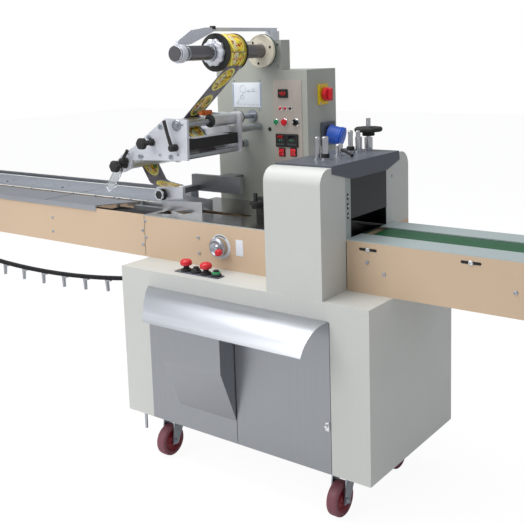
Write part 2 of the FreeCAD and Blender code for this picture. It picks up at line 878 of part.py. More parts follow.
for dx, dz, radius in ((-415, 207, 9.0), (-215, 213, 9.0), (-370, 275, 9.0)):
    bars.append(across(*feed_spot(dx, dz), feed_back, feed_far, radius))
for dx, dz, radius in ((-279, 217, 14.0), (-210, 280, 12.0)):
    bars.append(across(*feed_spot(dx, dz), feed_far + feed_plate, tower_face, radius))
block_x0, block_z0 = feed_spot(-257, 234)
save("feed_motor_block", box(block_x0, block_x0 + 46, feed_back, feed_far, block_z0, block_z0 + 36))
idlers = []
top_idler = feed_spot(-314, 313)
low_idler = feed_spot(-273, 213)
tip_idler = feed_spot(-525, 169)
for x, z in (top_idler, low_idler, tip_idler):
    drum = across(x, z, feed_back + 4, feed_far - 4, idler_radius)
    axle = across(x, z, feed_back, feed_far, 6)
    idlers.append(joined(drum, axle))
save("film_idlers", *idlers)
knobs = []
knob_reach = 62.0
for dx, dz, radius in ((-492, 175, 20.0), (-357, 259, 19.0)):
    kx, kz = feed_spot(dx, dz)
    stem = across(kx, kz, feed_near - knob_reach + 22, feed_near, 9)
    head = across(kx, kz, feed_near - knob_reach, feed_near - knob_reach + 22, radius)
    knobs.append(joined(stem, head))
for base, tip in (
    (feed_spot(-250, 245), feed_spot(-280, 335)),
    (feed_spot(-487, 189), feed_spot(-458, 229)),
):
    dx = tip[0] - base[0]
    dz = tip[1] - base[1]
    size = math.hypot(dx, dz)
    nx = -dz / size * 7
    nz = dx / size * 7
    outline = [
        (base[0] + nx, base[1] + nz),
        (tip[0] + nx * 0.7, tip[1] + nz * 0.7),
        (tip[0] - nx * 0.7, tip[1] - nz * 0.7),
        (base[0] - nx, base[1] - nz),
    ]
    blade = face_prism(outline, feed_near - 26, feed_near - 14)
    pivot = across(*base, feed_near - 30, feed_near, 12)
    knobs.append(joined(blade, pivot))
save("feed_knobs", *knobs)

# Driven feed roller, turning on a fixed shaft from the tower
roller_shaft = 9.0
fixed_shaft = joined(
    across(feed_axis_x, feed_axis_z, feed_back, tower_face, roller_shaft),
    across(feed_axis_x, feed_axis_z, tower_face - 6, tower_face, 22),
)
save("feed_cross_bars", *bars, fixed_shaft)
save(
    "feed_roller",
    sleeve(
        feed_axis_x,
        feed_axis_z,
        feed_near + 168,
        feed_near + 168 + 167,
        feed_roller_radius,
        roller_shaft + running_gap,
    ),
)

# Clear guard below the front knob
guard_outline = [
    feed_spot(-507, 169),
    feed_spot(-531, 175),
    feed_spot(-593, 90),
    feed_spot(-577, 73),
    feed_spot(-561, 78),
    feed_spot(-509, 147),
]
save("clear_guard", face_prism(guard_outline, feed_near - 6, feed_near))

# Film web from the roll over the top idler, through the unit and down to the former
web_thick = 1.0
web_gap = 0.4


def tangent_points(c1, r1, c2, r2, side1, side2):
    """Touching points of a line that leaves circle 1 and reaches circle 2 on the given sides."""
    dx = c2[0] - c1[0]
    dz = c2[1] - c1[1]
    span = math.hypot(dx, dz)
    swing = math.asin((side1 * r1 - side2 * r2) / span)
    heading = math.atan2(dz, dx) - swing
    nx = -math.sin(heading)
    nz = math.cos(heading)
    start = (c1[0] + side1 * r1 * nx, c1[1] + side1 * r1 * nz)
    finish = (c2[0] + side2 * r2 * nx, c2[1] + side2 * r2 * nz)
    return start, finish


def strip(start, finish):
    """Flat stretch of film between two points in the x-z plane."""
    dx = finish[0] - start[0]
    dz = finish[1] - start[1]
    size = math.hypot(dx, dz)
    nx = -dz / size * web_thick / 2
    nz = dx / size * web_thick / 2
    outline = [
        (start[0] + nx, start[1] + nz),
        (finish[0] + nx, finish[1] + nz),
        (finish[0] - nx, finish[1] - nz),
        (start[0] - nx, start[1] - nz),
    ]
    return face_prism(outline, roll_near, roll_far)


lift = web_thick / 2 + web_gap
upper = tangent_points(
    (reel_x, reel_z), roll_radius + lift, top_idler, idler_radius + lift, 1, -1
)
inner = tangent_points(
    top_idler, idler_radius + lift, low_idler, idler_radius + lift, -1, 1
)
through = tangent_points(
    low_idler, idler_radius + lift, tip_idler, idler_radius + lift, 1, -1
)
turn = feed_spot(-500, 94)
shoulder = feed_spot(-410, 76)
lower = tangent_points(tip_idler, idler_radius + lift, turn, 0, -1, 1)
runs = (upper, inner, through, lower, (turn, shoulder))
save("film_web", *[strip(*run) for run in runs])

# Former: bracket with its knob, shoulder plate and the box that carries it
former_y = line_middle - 68
bracket_outline = [feed_spot(-446, 42), feed_spot(-318, 53), feed_spot(-316, 92), feed_spot(-443, 85)]
former_plate = face_prism(bracket_outline, former_y, former_y + 12)
former_x, former_z = feed_spot(-400, 65)
former_knob = across(former_x, former_z, former_y - 34, former_y - 12, 19)
former_stem = across(former_x, former_z, former_y - 12, former_y, 8)
save("former_bracket", former_plate, joined(former_knob, former_stem))
box_y = line_middle + 117
box_x0, box_z0 = feed_spot(-438, 47)
save(
    "former_box",
    box(box_x0, box_x0 + 229, box_y, box_y + 20, box_z0, box_z0 + 60),
    box(box_x0 + 73, box_x0 + 143, box_y + 20, tower_face, box_z0 + 10, box_z0 + 50),
    box(box_x0 + 5, box_x0 + 35, former_y + 12, box_y, box_z0 + 2, box_z0 + 22),
)
plough_height = 38.0
plough_x0 = tower_x1 - 425
plough_x1 = tower_x1 - 265
plough_wide = 60.0
plough_narrow = 24.0
ploughs = [
    plan_prism(
        [
            (plough_x0, line_middle + side * plough_wide),
            (plough_x1, line_middle + side * (plough_narrow + 6)),
            (plough_x1, line_middle + side * plough_narrow),
            (plough_x0, line_middle + side * (plough_wide - 8)),
        ],
        deck,
        deck + plough_height,
    )
    for side in (-1, 1)
]
save("former_shoulder", *ploughs)
fin_x = tower_x1 - 51
fin_y = line_middle
fin_far = box(fin_x - 30, fin_x + 30, line_middle + 40, line_middle + 60, deck, deck + 60)
fin_arm = box(fin_x - 10, fin_x + 10, line_middle - 10, line_middle + 40, deck + 30, deck + 42)
fin_post = rod((fin_x, fin_y, deck + 42), (fin_x, fin_y, deck + 44), 8)
fin_disc = rod((fin_x, fin_y, deck + 44), (fin_x, fin_y, deck + 54), 22)
fin_lever = box(fin_x - 6, fin_x + 4, fin_y - 5, fin_y + 5, deck + 54, deck + 82)
save("fin_seal_unit", joined(fin_far, fin_arm, fin_post, fin_disc, fin_lever))

# Casters: fixed mounts with king pins, swivelling forks and wheels
fork_plate_top = ground_clearance - 5 - clearance
fork_plate_low = fork_plate_top - 6
wheel_z = wheel_radius
leg_in = wheel_width / 2 + clearance
leg_out = leg_in + 4
stems = {
    "front_right": (-caster_side, caster_inset),
    "front_left": (-caster_left, caster_inset),
    "rear_right": (-caster_side, cabinet_depth - caster_inset),
    "rear_left": (-caster_left, cabinet_depth - caster_inset),
}
mounts = []
for place, (sx, sy) in stems.items():
    mount = box(sx - 45, sx + 45, sy - 40, sy + 40, ground_clearance - 5, ground_clearance)
    pin = rod((sx, sy, fork_plate_low - 8), (sx, sy, ground_clearance - 5), pin_radius)
    mounts.append(joined(mount, pin))
    wheel_y = sy - caster_trail
    fork_legs = []
    for low, high in ((-leg_out, -leg_in), (leg_in, leg_out)):
        fork_legs.append(
            side_prism(
                [
                    (sy - 30, fork_plate_top),
                    (sy + 30, fork_plate_top),
                    (sy + 30, fork_plate_low),
                    (wheel_y + 14, wheel_z - 10),
                    (wheel_y - 14, wheel_z - 10),
                ],
                sx + low,
                sx + high,
            )
        )
    plate = box(sx - leg_out, sx + leg_out, sy - 30, sy + 30, fork_plate_low, fork_plate_top)
    axle = rod((sx - leg_out, wheel_y, wheel_z), (sx + leg_out, wheel_y, wheel_z), axle_radius)
    bore = rod((sx, sy, fork_plate_low - 1), (sx, sy, fork_plate_top + 1), pin_radius + running_gap)
    save("caster_fork_" + place, joined(plate, axle, *fork_legs).cut(bore))
    tread = rod(
        (sx - wheel_width / 2, wheel_y, wheel_z), (sx + wheel_width / 2, wheel_y, wheel_z), wheel_radius
    )
    wheel_bore = rod(
        (sx - leg_out, wheel_y, wheel_z), (sx + leg_out, wheel_y, wheel_z), axle_radius + running_gap
    )
    save("caster_wheel_" + place, tread.cut(wheel_bore))
leveller_foot = ground_clearance - 57
levellers = [
    rod((cabinet_left + 68, y, leveller_foot), (cabinet_left + 68, y, ground_clearance), 5)
    for y in (sheet + 8, cabinet_depth - sheet - 8)
]
save("caster_mounts", *mounts, *levellers)
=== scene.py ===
"""Horizontal flow wrapper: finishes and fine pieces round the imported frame, with floor, light and camera.

Sizes are in millimetres, measured from the cabinet's right front corner at the floor: x along the line,
y towards the back and z up. row() turns them into the frame's own metres.
"""

import math

import bmesh
import bpy
import numpy as np
from bpy.props import FloatProperty, FloatVectorProperty, IntProperty, PointerProperty
from mathutils import Matrix, Vector


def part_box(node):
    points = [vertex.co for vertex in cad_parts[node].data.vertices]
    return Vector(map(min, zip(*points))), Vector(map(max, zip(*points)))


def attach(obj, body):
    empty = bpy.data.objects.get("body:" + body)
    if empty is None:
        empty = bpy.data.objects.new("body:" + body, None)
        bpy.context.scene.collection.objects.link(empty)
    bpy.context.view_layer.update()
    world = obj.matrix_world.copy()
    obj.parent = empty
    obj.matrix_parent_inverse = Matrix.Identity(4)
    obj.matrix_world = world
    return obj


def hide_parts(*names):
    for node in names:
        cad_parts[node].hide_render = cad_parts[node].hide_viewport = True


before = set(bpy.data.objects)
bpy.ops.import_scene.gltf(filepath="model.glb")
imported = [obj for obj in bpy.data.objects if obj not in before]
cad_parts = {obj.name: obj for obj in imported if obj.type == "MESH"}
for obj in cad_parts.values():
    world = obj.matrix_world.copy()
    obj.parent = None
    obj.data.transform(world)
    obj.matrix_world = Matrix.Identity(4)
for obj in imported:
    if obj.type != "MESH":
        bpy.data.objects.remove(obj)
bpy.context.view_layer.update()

bl_info = {
    "name": "Horizontal Flow Wrapper",
    "version": (1, 0, 0),
    "blender": (4, 5, 0),
    "location": "3D View > Sidebar > Flow Wrapper",
    "description": "Finishes, detailed pieces and a studio for a horizontal flow wrapper",
    "category": "Object",
}

MM = 0.001
LEFT, RIGHT = np.array([-1.0, 0, 0]), np.array([1.0, 0, 0])
FRONT, BACK = np.array([0, -1.0, 0]), np.array([0, 1.0, 0])
UP, DOWN = np.array([0, 0, 1.0]), np.array([0, 0, -1.0])

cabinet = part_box("cabinet_shell")
home = np.array([cabinet[1].x, cabinet[0].y, 0.0])


def row(points):
    """Points in millimetres from the cabinet's corner, as metres in the row frame."""
    return home + MM * np.asarray(points, float)


def span(node):
    """Lowest and highest corners of a node, in millimetres from the cabinet's corner."""
    low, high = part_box(node)
    return (np.array(low) - home) / MM, (np.array(high) - home) / MM


tower_lo, tower_hi = span("control_tower")
deck_lo, deck_hi = span("body_deck")
beam_lo, beam_hi = span("infeed_side_panels")
roll_lo, roll_hi = span("film_roll")
plate_lo, plate_hi = span("feed_near_plate")
chain_lo, chain_hi = span("infeed_chain")
belt_lo, belt_hi = span("discharge_belt")
discharge_lo, discharge_hi = span("discharge_side_panels")
housing_lo, housing_hi = span("housing_front_tower")
cover_lo, cover_hi = span("housing_cover")

TOWER_FACE = tower_lo[1]
TOWER_RIGHT = tower_hi[0]
TOWER_TOP = tower_hi[2]
DECK = deck_hi[2]
BEAM_FRONT = deck_lo[1]
BEAM_BACK = discharge_hi[1]
REEL_X = (roll_lo[0] + roll_hi[0]) / 2
REEL_Z = (roll_lo[2] + roll_hi[2]) / 2


# Shapes -------------------------------------------------------------------------------------------


def turned(profile, sides=32):
    """Round body: x = r cos a, y = r sin a, z = h, for each profile point (r, h) and each angle a."""
    r, h = np.asarray(profile, float).T
    a = np.linspace(0, 2 * np.pi, sides, endpoint=False)[:, None]
    return np.stack([r * np.cos(a), r * np.sin(a), h + 0 * a], -1)


def lobed(profile, lobes, depth, sides=96):
    """Star knob: as a turned body, with its radius swelling as 1 + depth cos(lobes a)."""
    grid = turned(profile, sides)
    a = np.linspace(0, 2 * np.pi, sides, endpoint=False)[:, None, None]
    grid[..., :2] *= 1 + depth * np.cos(lobes * a)
    return grid


def block(width, height, thick, corner=2.0, edge=0.8, steps=5):
    """Slab with round corners: a rounded rectangle (along u) carried up the thickness and drawn in by a
    quarter circle at its top edge (along v); both ends close in their middle."""
    turn = np.linspace(0, np.pi / 2, steps)
    a = (np.arange(4)[:, None] * np.pi / 2 + turn).ravel()
    sx = np.repeat([1, -1, -1, 1], steps)
    sy = np.repeat([1, 1, -1, -1], steps)
    roll = np.linspace(0, np.pi / 2, 4)
    inset = np.concatenate([[0, 0], edge * (1 - np.cos(roll))])
    lift = np.concatenate([[0, 0], thick - edge + edge * np.sin(roll)])
    shrink = np.ones(len(inset))
    shrink[0] = 0
    inset = np.append(inset, edge)[None, :]
    lift = np.append(lift, thick)[None, :]
    shrink = np.append(shrink, 0)[None, :]
    rounding = np.maximum(corner - inset, 0.05)
    x = sx[:, None] * (width / 2 - inset - rounding) + rounding * np.cos(a)[:, None]
    y = sy[:, None] * (height / 2 - inset - rounding) + rounding * np.sin(a)[:, None]
    return np.stack([x * shrink, y * shrink, lift + 0 * x], -1)


def bar(path, radius, sides=10, flat=1.0):
    """Round bar: a circle (along u) carried along the path's points (along v), square to its run. The
    circle may be flattened across, and both ends close in a point."""
    path = np.asarray(path, float)
    radius = np.broadcast_to(np.asarray(radius, float), len(path))
    run = np.gradient(path, axis=0)
    run /= np.linalg.norm(run, axis=1)[:, None]
    spread = np.ptp(path, axis=0)
    side = np.eye(3)[np.argmin(spread)]
    first = np.cross(run, side)
    first /= np.linalg.norm(first, axis=1)[:, None]
    second = np.cross(run, first)
    a = np.linspace(0, 2 * np.pi, sides, endpoint=False)[:, None, None]
    ring = path + radius[:, None] * (first * np.cos(a) + flat * second * np.sin(a))
    ends = np.repeat(path[None, [0, -1]], sides, axis=0)
    return np.concatenate([ends[:, :1], ring, ends[:, 1:]], axis=1)


def aimed(grid, centre, out, up=UP):
    """Moves a shape to centre, with its own z axis along out and its y axis as near up as it can be."""
    out = out / np.linalg.norm(out)
    across = np.cross(up, out)
    across /= np.linalg.norm(across)
    top = np.cross(out, across)
    return np.asarray(centre, float) + grid @ np.stack([across, top, out])


def quads(across, along, start):
    """Corner numbers of the faces of a grid that closes on itself across, numbered from start."""
    u = np.arange(across)[:, None]
    v = np.arange(along - 1)[None, :]
    nxt = (u + 1) % across
    corners = [u * along + v, nxt * along + v, nxt * along + v + 1, u * along + v + 1]
    return np.stack([c + 0 * v for c in corners], -1).reshape(-1, 4) + start


def piece(name, grids, body, material, smooth=35.0):
    """One object from grids of points in millimetres. Each grid closes across and at both ends; doubled
    points are merged and all faces turned outwards."""
    points = []
    faces = []
    count = 0
    for grid in grids:
        across, along = grid.shape[:2]
        points.append(grid.reshape(-1, 3))
        faces.append(quads(across, along, count))
        count += across * along
    mesh = bpy.data.meshes.new(name)
    mesh.from_pydata(row(np.concatenate(points)).tolist(), [], np.concatenate(faces).tolist())
    shape = bmesh.new()
    shape.from_mesh(mesh)
    bmesh.ops.remove_doubles(shape, verts=shape.verts, dist=1e-6)
    bmesh.ops.recalc_face_normals(shape, faces=shape.faces)
    shape.to_mesh(mesh)
    shape.free()
    mesh.polygons.foreach_set("use_smooth", np.ones(len(mesh.polygons), bool))
    mesh.set_sharp_from_angle(angle=math.radians(smooth))
    mesh.materials.append(material)
    thing = bpy.data.objects.new(name, mesh)
    bpy.context.scene.collection.objects.link(thing)
    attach(thing, body)
    return thing


# Shader maths -------------------------------------------------------------------------------------


class Wire:
    """A shader socket that takes part in sums, each of which adds a Math node."""

    def __init__(self, finish, socket):
        self.finish = finish
        self.socket = socket

    def maths(self, operation, first, second=0.0):
        return self.finish.out("ShaderNodeMath", {"operation": operation}, {0: first, 1: second})

    def __add__(self, other):
        return self.maths("ADD", self, other)

    def __sub__(self, other):
        return self.maths("SUBTRACT", self, other)

    def __rsub__(self, other):
        return self.maths("SUBTRACT", other, self)

    def __mul__(self, other):
        return self.maths("MULTIPLY", self, other)

    def __truediv__(self, other):
        return self.maths("DIVIDE", self, other)

    def __gt__(self, other):
        return self.maths("GREATER_THAN", self, other)

    def __lt__(self, other):
        return self.maths("LESS_THAN", self, other)

    def __pow__(self, other):
        return self.maths("POWER", self, other)

    def either(self, other):
        return self.maths("MAXIMUM", self, other)

    def fraction(self):
        return self.maths("FRACT", self)

    __radd__ = __add__
    __rmul__ = __mul__


class Finish:
    """A material and its node tree: one shader, and one way to add any other node."""

    def __init__(self, name, **constants):
        self.material = bpy.data.materials.new(name)
        self.material.use_nodes = True
        self.tree = self.material.node_tree
        self.tree.nodes.clear()
        self.shader = self.tree.nodes.new("ShaderNodeBsdfPrincipled")
        self.end = self.tree.nodes.new("ShaderNodeOutputMaterial")
        self.tree.links.new(self.shader.outputs["BSDF"], self.end.inputs["Surface"])
        for socket, value in constants.items():
            self.shader.inputs[socket.replace("_", " ")].default_value = value

    def node(self, kind, settings, inputs):
        """Adds a node: its settings first, then the values or links of its sockets."""
        made = self.tree.nodes.new(kind)
        for key, value in settings.items():
            if key == "stops":
                ramp = made.color_ramp.elements
                while len(ramp) < len(value):
                    ramp.new(1.0)
                for element, (place, colour) in zip(ramp, value):
                    element.position = place
                    element.color = colour
            else:
                setattr(made, key, value)
        for key, value in inputs.items():
            if isinstance(value, Wire):
                self.tree.links.new(value.socket, made.inputs[key])
            else:
                made.inputs[key].default_value = value
        return made

    def out(self, kind, settings, inputs, output=0):
        return Wire(self, self.node(kind, settings, inputs).outputs[output])

    def feed(self, socket, wire):
        self.tree.links.new(wire.socket, self.shader.inputs[socket])

    def place(self, scale=(1.0, 1.0, 1.0)):
        """Object coordinates in metres, stretched by scale."""
        coords = self.out("ShaderNodeTexCoord", {}, {}, "Object")
        return self.out("ShaderNodeMapping", {}, {"Vector": coords, "Scale": scale})

    def noise(self, where, scale, detail=3.0):
        return self.out(
            "ShaderNodeTexNoise", {}, {"Vector": where, "Scale": scale, "Detail": detail}, "Fac"
        )

    def mix(self, factor, first, second):
        """Colour that goes from first to second with factor."""
        return self.out("ShaderNodeMix", {"data_type": "RGBA"}, {0: factor, 6: first, 7: second}, 2)

    def ramp(self, factor, *stops):
        return self.out("ShaderNodeValToRGB", {"stops": stops}, {"Fac": factor}, "Color")

    def relief(self, height, strength, depth):
        """Bump from a height, its depth in millimetres."""
        normal = self.out(
            "ShaderNodeBump", {}, {"Height": height, "Strength": strength, "Distance": depth * MM}, "Normal"
        )
        self.feed("Normal", normal)


def rgba(colour, gain=1.0):
    """Display colour (0 to 1) as linear light, times gain."""
    linear = [c / 12.92 if c <= 0.04045 else ((c + 0.055) / 1.055) ** 2.4 for c in colour]
    return (*[min(c * gain, 1.0) for c in linear], 1.0)


def paint(name, colour, rough=0.42, peel=0.12, coat=0.0):
    """Baked enamel: faint cloudiness, orange-peel relief and a thin film of dust in places."""
    f = Finish(name, Coat_Weight=coat, Coat_Roughness=0.2)
    where = f.place()
    cloud = f.noise(where, 3.0, 5.0)
    speck = f.noise(where, 90.0, 2.0)
    f.feed("Base Color", f.mix(cloud * 0.8 + speck * 0.2, rgba(colour, 0.9), rgba(colour, 1.06)))
    f.feed("Roughness", f.noise(where, 11.0, 6.0) * 0.22 + (rough - 0.11))
    f.relief(f.noise(where, 420.0, 2.0), peel, 0.35)
    return f.material


def brushed(name, colour, grain, rough=0.3, cloud_gain=0.12):
    """Brushed metal: fine lines along one axis in colour, roughness and relief, under soft clouds."""
    f = Finish(name, Metallic=1.0)
    lines = f.noise(f.place(grain), 1.0, 4.0)
    fine = f.noise(f.place(tuple(3.1 * g for g in grain)), 1.0, 2.0)
    cloud = f.noise(f.place(), 4.0, 4.0)
    tone = lines * 0.55 + fine * 0.2 + cloud * 0.25
    f.feed("Base Color", f.mix(tone, rgba(colour, 1 - cloud_gain), rgba(colour, 1 + cloud_gain)))
    f.feed("Roughness", lines * 0.16 + cloud * 0.1 + (rough - 0.13))
    f.relief(lines + fine * 0.5, 0.16, 0.12)
    return f.material


def satin(name, colour, grain):
    """Pale anodised plate: half metal, half its own tone, with a faint grain and handling marks."""
    f = Finish(name, Metallic=0.35)
    lines = f.noise(f.place(grain), 1.0, 4.0)
    marks = f.noise(f.place(), 22.0, 6.0)
    f.feed("Base Color", f.mix(lines * 0.5 + marks * 0.5, rgba(colour, 0.84), rgba(colour, 1.1)))
    f.feed("Roughness", marks * 0.25 + 0.28)
    f.relief(lines, 0.1, 0.12)
    return f.material


def zinc(name, colour, rough=0.34):
    """Plated steel: small crystal patches over a satin base."""
    f = Finish(name, Metallic=1.0)
    where = f.place()
    patch = f.out("ShaderNodeTexVoronoi", {}, {"Vector": where, "Scale": 140.0}, "Distance")
    cloud = f.noise(where, 12.0, 4.0)
    f.feed("Base Color", f.mix(patch * 0.6 + cloud * 0.4, rgba(colour, 0.8), rgba(colour, 1.1)))
    f.feed("Roughness", cloud * 0.2 + (rough - 0.1))
    f.relief(f.noise(where, 300.0, 2.0), 0.08, 0.2)
    return f.material


def moulded(name, colour, rough=0.38, grain=0.2, coat=0.0):
    """Moulded plastic: fine sand grain and slightly worn, lighter patches."""
    f = Finish(name, Coat_Weight=coat)
    where = f.place()
    wear = f.noise(where, 26.0, 5.0)
    f.feed("Base Color", f.mix(wear, rgba(colour, 0.86), rgba(colour, 1.2)))
    f.feed("Roughness", wear * 0.2 + (rough - 0.1))
    f.relief(f.noise(where, 900.0, 2.0), grain, 0.15)
    return f.material


def guard_sheet(name, pale, dark, split):
    """Guard sheet between pale cheeks: pale enamel in front of the plane y = split, near-black gloss behind
    it.
    """
    f = Finish(name)
    where = f.place()
    apart = f.node("ShaderNodeSeparateXYZ", {}, {"Vector": where})
    behind = Wire(f, apart.outputs["Y"]) > split
    cloud = f.noise(where, 18.0, 5.0)
    front = f.mix(cloud, rgba(pale, 0.88), rgba(pale, 1.08))
    f.feed("Base Color", f.mix(behind, front, f.mix(cloud, rgba(dark, 0.7), rgba(dark, 1.5))))
    f.feed("Roughness", behind * -0.22 + cloud * 0.1 + 0.36)
    f.relief(f.noise(where, 420.0, 2.0), 0.08, 0.3)
    return f.material


def belting(name, colour):
    """Woven conveyor belt: two crossed sets of fine ribs, scuffed along its run."""
    f = Finish(name)
    where = f.place()
    warp = f.out("ShaderNodeTexWave", {"bands_direction": "Y"}, {"Vector": where, "Scale": 160.0})
    weft = f.out("ShaderNodeTexWave", {"bands_direction": "X"}, {"Vector": where, "Scale": 160.0})
    scuff = f.noise(f.place((1.5, 30.0, 30.0)), 1.0, 5.0)
    weave = warp * weft
    f.feed("Base Color", f.mix(scuff * 0.7 + weave * 0.3, rgba(colour, 0.7), rgba(colour, 1.35)))
    f.feed("Roughness", scuff * 0.3 + 0.28)
    f.relief(weave, 0.3, 0.3)
    return f.material


def acrylic(name):
    """Clear sheet with faint scratches."""
    f = Finish(name, Base_Color=(0.93, 0.96, 0.98, 1.0), Transmission_Weight=0.85, IOR=1.35)
    scratch = f.noise(f.place((12.0, 200.0, 40.0)), 1.0, 5.0)
    f.feed("Roughness", scratch * 0.14 + 0.02)
    return f.material


def glowing(name, colour, strength):
    """Lit segments, their colour and glow varying in soft patches."""
    f = Finish(name, Roughness=0.4, Emission_Strength=strength)
    where = f.place()
    f.feed("Base Color", f.mix(f.noise(where, 200.0), rgba(colour, 0.8), rgba(colour, 1.0)))
    f.feed("Emission Color", f.mix(f.noise(where, 300.0), rgba(colour, 0.7), rgba(colour, 1.0)))
    return f.material


def chain_metal(name, dark, bright, link):
    """Oiled roller chain with bright pushers. Whatever stands more than half the chain's thickness outside
    its loop is a pusher: above the top run, outside the hanging arc, or past the tail's circle."""
    f = Finish(name, Metallic=0.9)
    where = f.place()
    apart = f.node("ShaderNodeSeparateXYZ", {}, {"Vector": where})
    x = Wire(f, apart.outputs["X"])
    z = Wire(f, apart.outputs["Z"])
    half = 7.6 * MM
    top = (DECK - 41.0) * MM
    sag_x = home[0] - (950.0 + 863.0) * MM
    sag_r = 4.234
    sag_z = top - 0.3015 + sag_r
    above = (z - top) > half
    below = (((x - sag_x) ** 2.0 + (z - sag_z) ** 2.0) ** 0.5 - sag_r) > half
    pusher = above.either(below)
    grime = f.noise(where, 60.0, 5.0)
    links = f.out("ShaderNodeTexWave", {"bands_direction": "X"}, {"Vector": where, "Scale": link})
    oiled = f.mix(grime * 0.6 + links * 0.4, rgba(dark, 0.5), rgba(dark, 2.2))
    f.feed("Base Color", f.mix(pusher, oiled, f.mix(grime, rgba(bright, 0.8), rgba(bright, 1.1))))
    f.feed("Roughness", grime * 0.3 + 0.25)
    f.relief(links + grime * 0.4, 0.4, 0.8)
    return f.material


def printed(name, pitch, width, backing, loud):
    """Printed film: an oval every pitch along it, pale rimmed, with scattered orange, brown and green
    flecks and a pale packet across its lower half. Beyond the ovals the backing shows. u runs along the
    film in millimetres, v across it from 0 to 1."""
    f = Finish(name, Coat_Weight=0.35, Coat_Roughness=0.16)
    uv = f.node("ShaderNodeUVMap", {"uv_map": "film"}, {})
    apart = f.node("ShaderNodeSeparateXYZ", {}, {"Vector": Wire(f, uv.outputs["UV"])})
    along = Wire(f, apart.outputs["X"])
    across = Wire(f, apart.outputs["Y"])
    p = ((along / pitch).fraction() - 0.5) * (2.0 * pitch / 112.0)
    q = (across - 0.5) * (2.0 * width / 72.0)
    reach = (p**2.0 + q**2.0) ** 0.5
    flat = f.out("ShaderNodeCombineXYZ", {}, {0: along * MM, 1: across * (width * MM)})
    fleck = f.noise(flat, 62.0, 2.0)
    patch = f.noise(flat, 38.0, 1.0)
    ink = f.ramp(
        fleck,
        (0.0, rgba((0.99, 0.93, 0.3))),
        (0.52, rgba((0.97, 0.86, 0.16))),
        (0.56, rgba((0.9, 0.5, 0.06))),
        (0.66, rgba((0.45, 0.2, 0.05))),
    )
    leafy = f.mix((patch > 0.58) * loud, ink, rgba((0.22, 0.5, 0.14)))
    packet = (((q + 0.34) ** 2.0 * 9.0 + p**2.0 * 2.2) < 0.9) * (1.0 - (fleck > 0.56))
    leafy = f.mix(packet * 0.75, leafy, rgba((0.93, 0.91, 0.8)))
    rim = (reach > 0.86) * (reach < 1.0)
    leafy = f.mix(rim, leafy, rgba((1.0, 0.97, 0.5)))
    ground = f.mix(patch, rgba(backing, 0.75), rgba(backing, 1.25))
    f.feed("Base Color", f.mix(reach < 1.0, ground, leafy))
    f.feed("Roughness", patch * 0.2 + 0.18)
    f.relief(patch, 0.15, 0.6)
    return f.material


class WrapperColours(bpy.types.PropertyGroup):
    """Finish colours, as they show on a screen."""

    cream: FloatVectorProperty(
        name="Cream enamel", description="Cabinet and sealing housing", subtype="COLOR",
        default=(0.80, 0.805, 0.79), min=0, max=1,
    )
    tan: FloatVectorProperty(
        name="Tan enamel", description="Line beam side panels", subtype="COLOR",
        default=(0.82, 0.72, 0.61), min=0, max=1,
    )
    grey: FloatVectorProperty(
        name="Grey enamel", description="Control tower and reel bracket", subtype="COLOR",
        default=(0.675, 0.685, 0.655), min=0, max=1,
    )
    cover: FloatVectorProperty(
        name="Dark cover", description="Sealing housing cover and throat", subtype="COLOR",
        default=(0.33, 0.35, 0.39), min=0, max=1,
    )
    steel: FloatVectorProperty(
        name="Stainless", description="Bay front, table and deck", subtype="COLOR",
        default=(0.66, 0.67, 0.69), min=0, max=1,
    )
    belt: FloatVectorProperty(
        name="Belt", description="Discharge belt", subtype="COLOR", default=(0.05, 0.33, 0.18), min=0, max=1,
    )
    flange: FloatVectorProperty(
        name="Pale flange", description="Strips beside the discharge belt", subtype="COLOR",
        default=(0.83, 0.87, 0.87), min=0, max=1,
    )
    red: FloatVectorProperty(
        name="Red plastic", description="Buttons and knobs", subtype="COLOR",
        default=(0.78, 0.06, 0.09), min=0, max=1,
    )
    wheel: FloatVectorProperty(
        name="Caster tread", description="Caster wheels", subtype="COLOR",
        default=(0.50, 0.29, 0.33), min=0, max=1,
    )
    blue: FloatVectorProperty(
        name="Socket blue", description="Power socket", subtype="COLOR",
        default=(0.05, 0.20, 0.55), min=0, max=1,
    )
    yellow: FloatVectorProperty(
        name="Switch yellow", description="Main switch plate", subtype="COLOR",
        default=(0.95, 0.78, 0.12), min=0, max=1,
    )


class WrapperSizes(bpy.types.PropertyGroup):
    """Sizes of the fine pieces, in millimetres."""

    screw: FloatProperty(name="Screw head", description="Radius of the panel screws", default=6.0, min=2)
    sides: IntProperty(name="Round sides", description="Faces round a turned piece", default=40, min=12)
    lobes: IntProperty(name="Knob lobes", description="Lobes on the star knobs", default=8, min=3)
    print_pitch: FloatProperty(name="Print pitch", description="Spacing of the film's print", default=134.0)
    lamp_power: FloatProperty(
        name="Key light", description="Power of the main soft light, watts", default=60.0,
    )


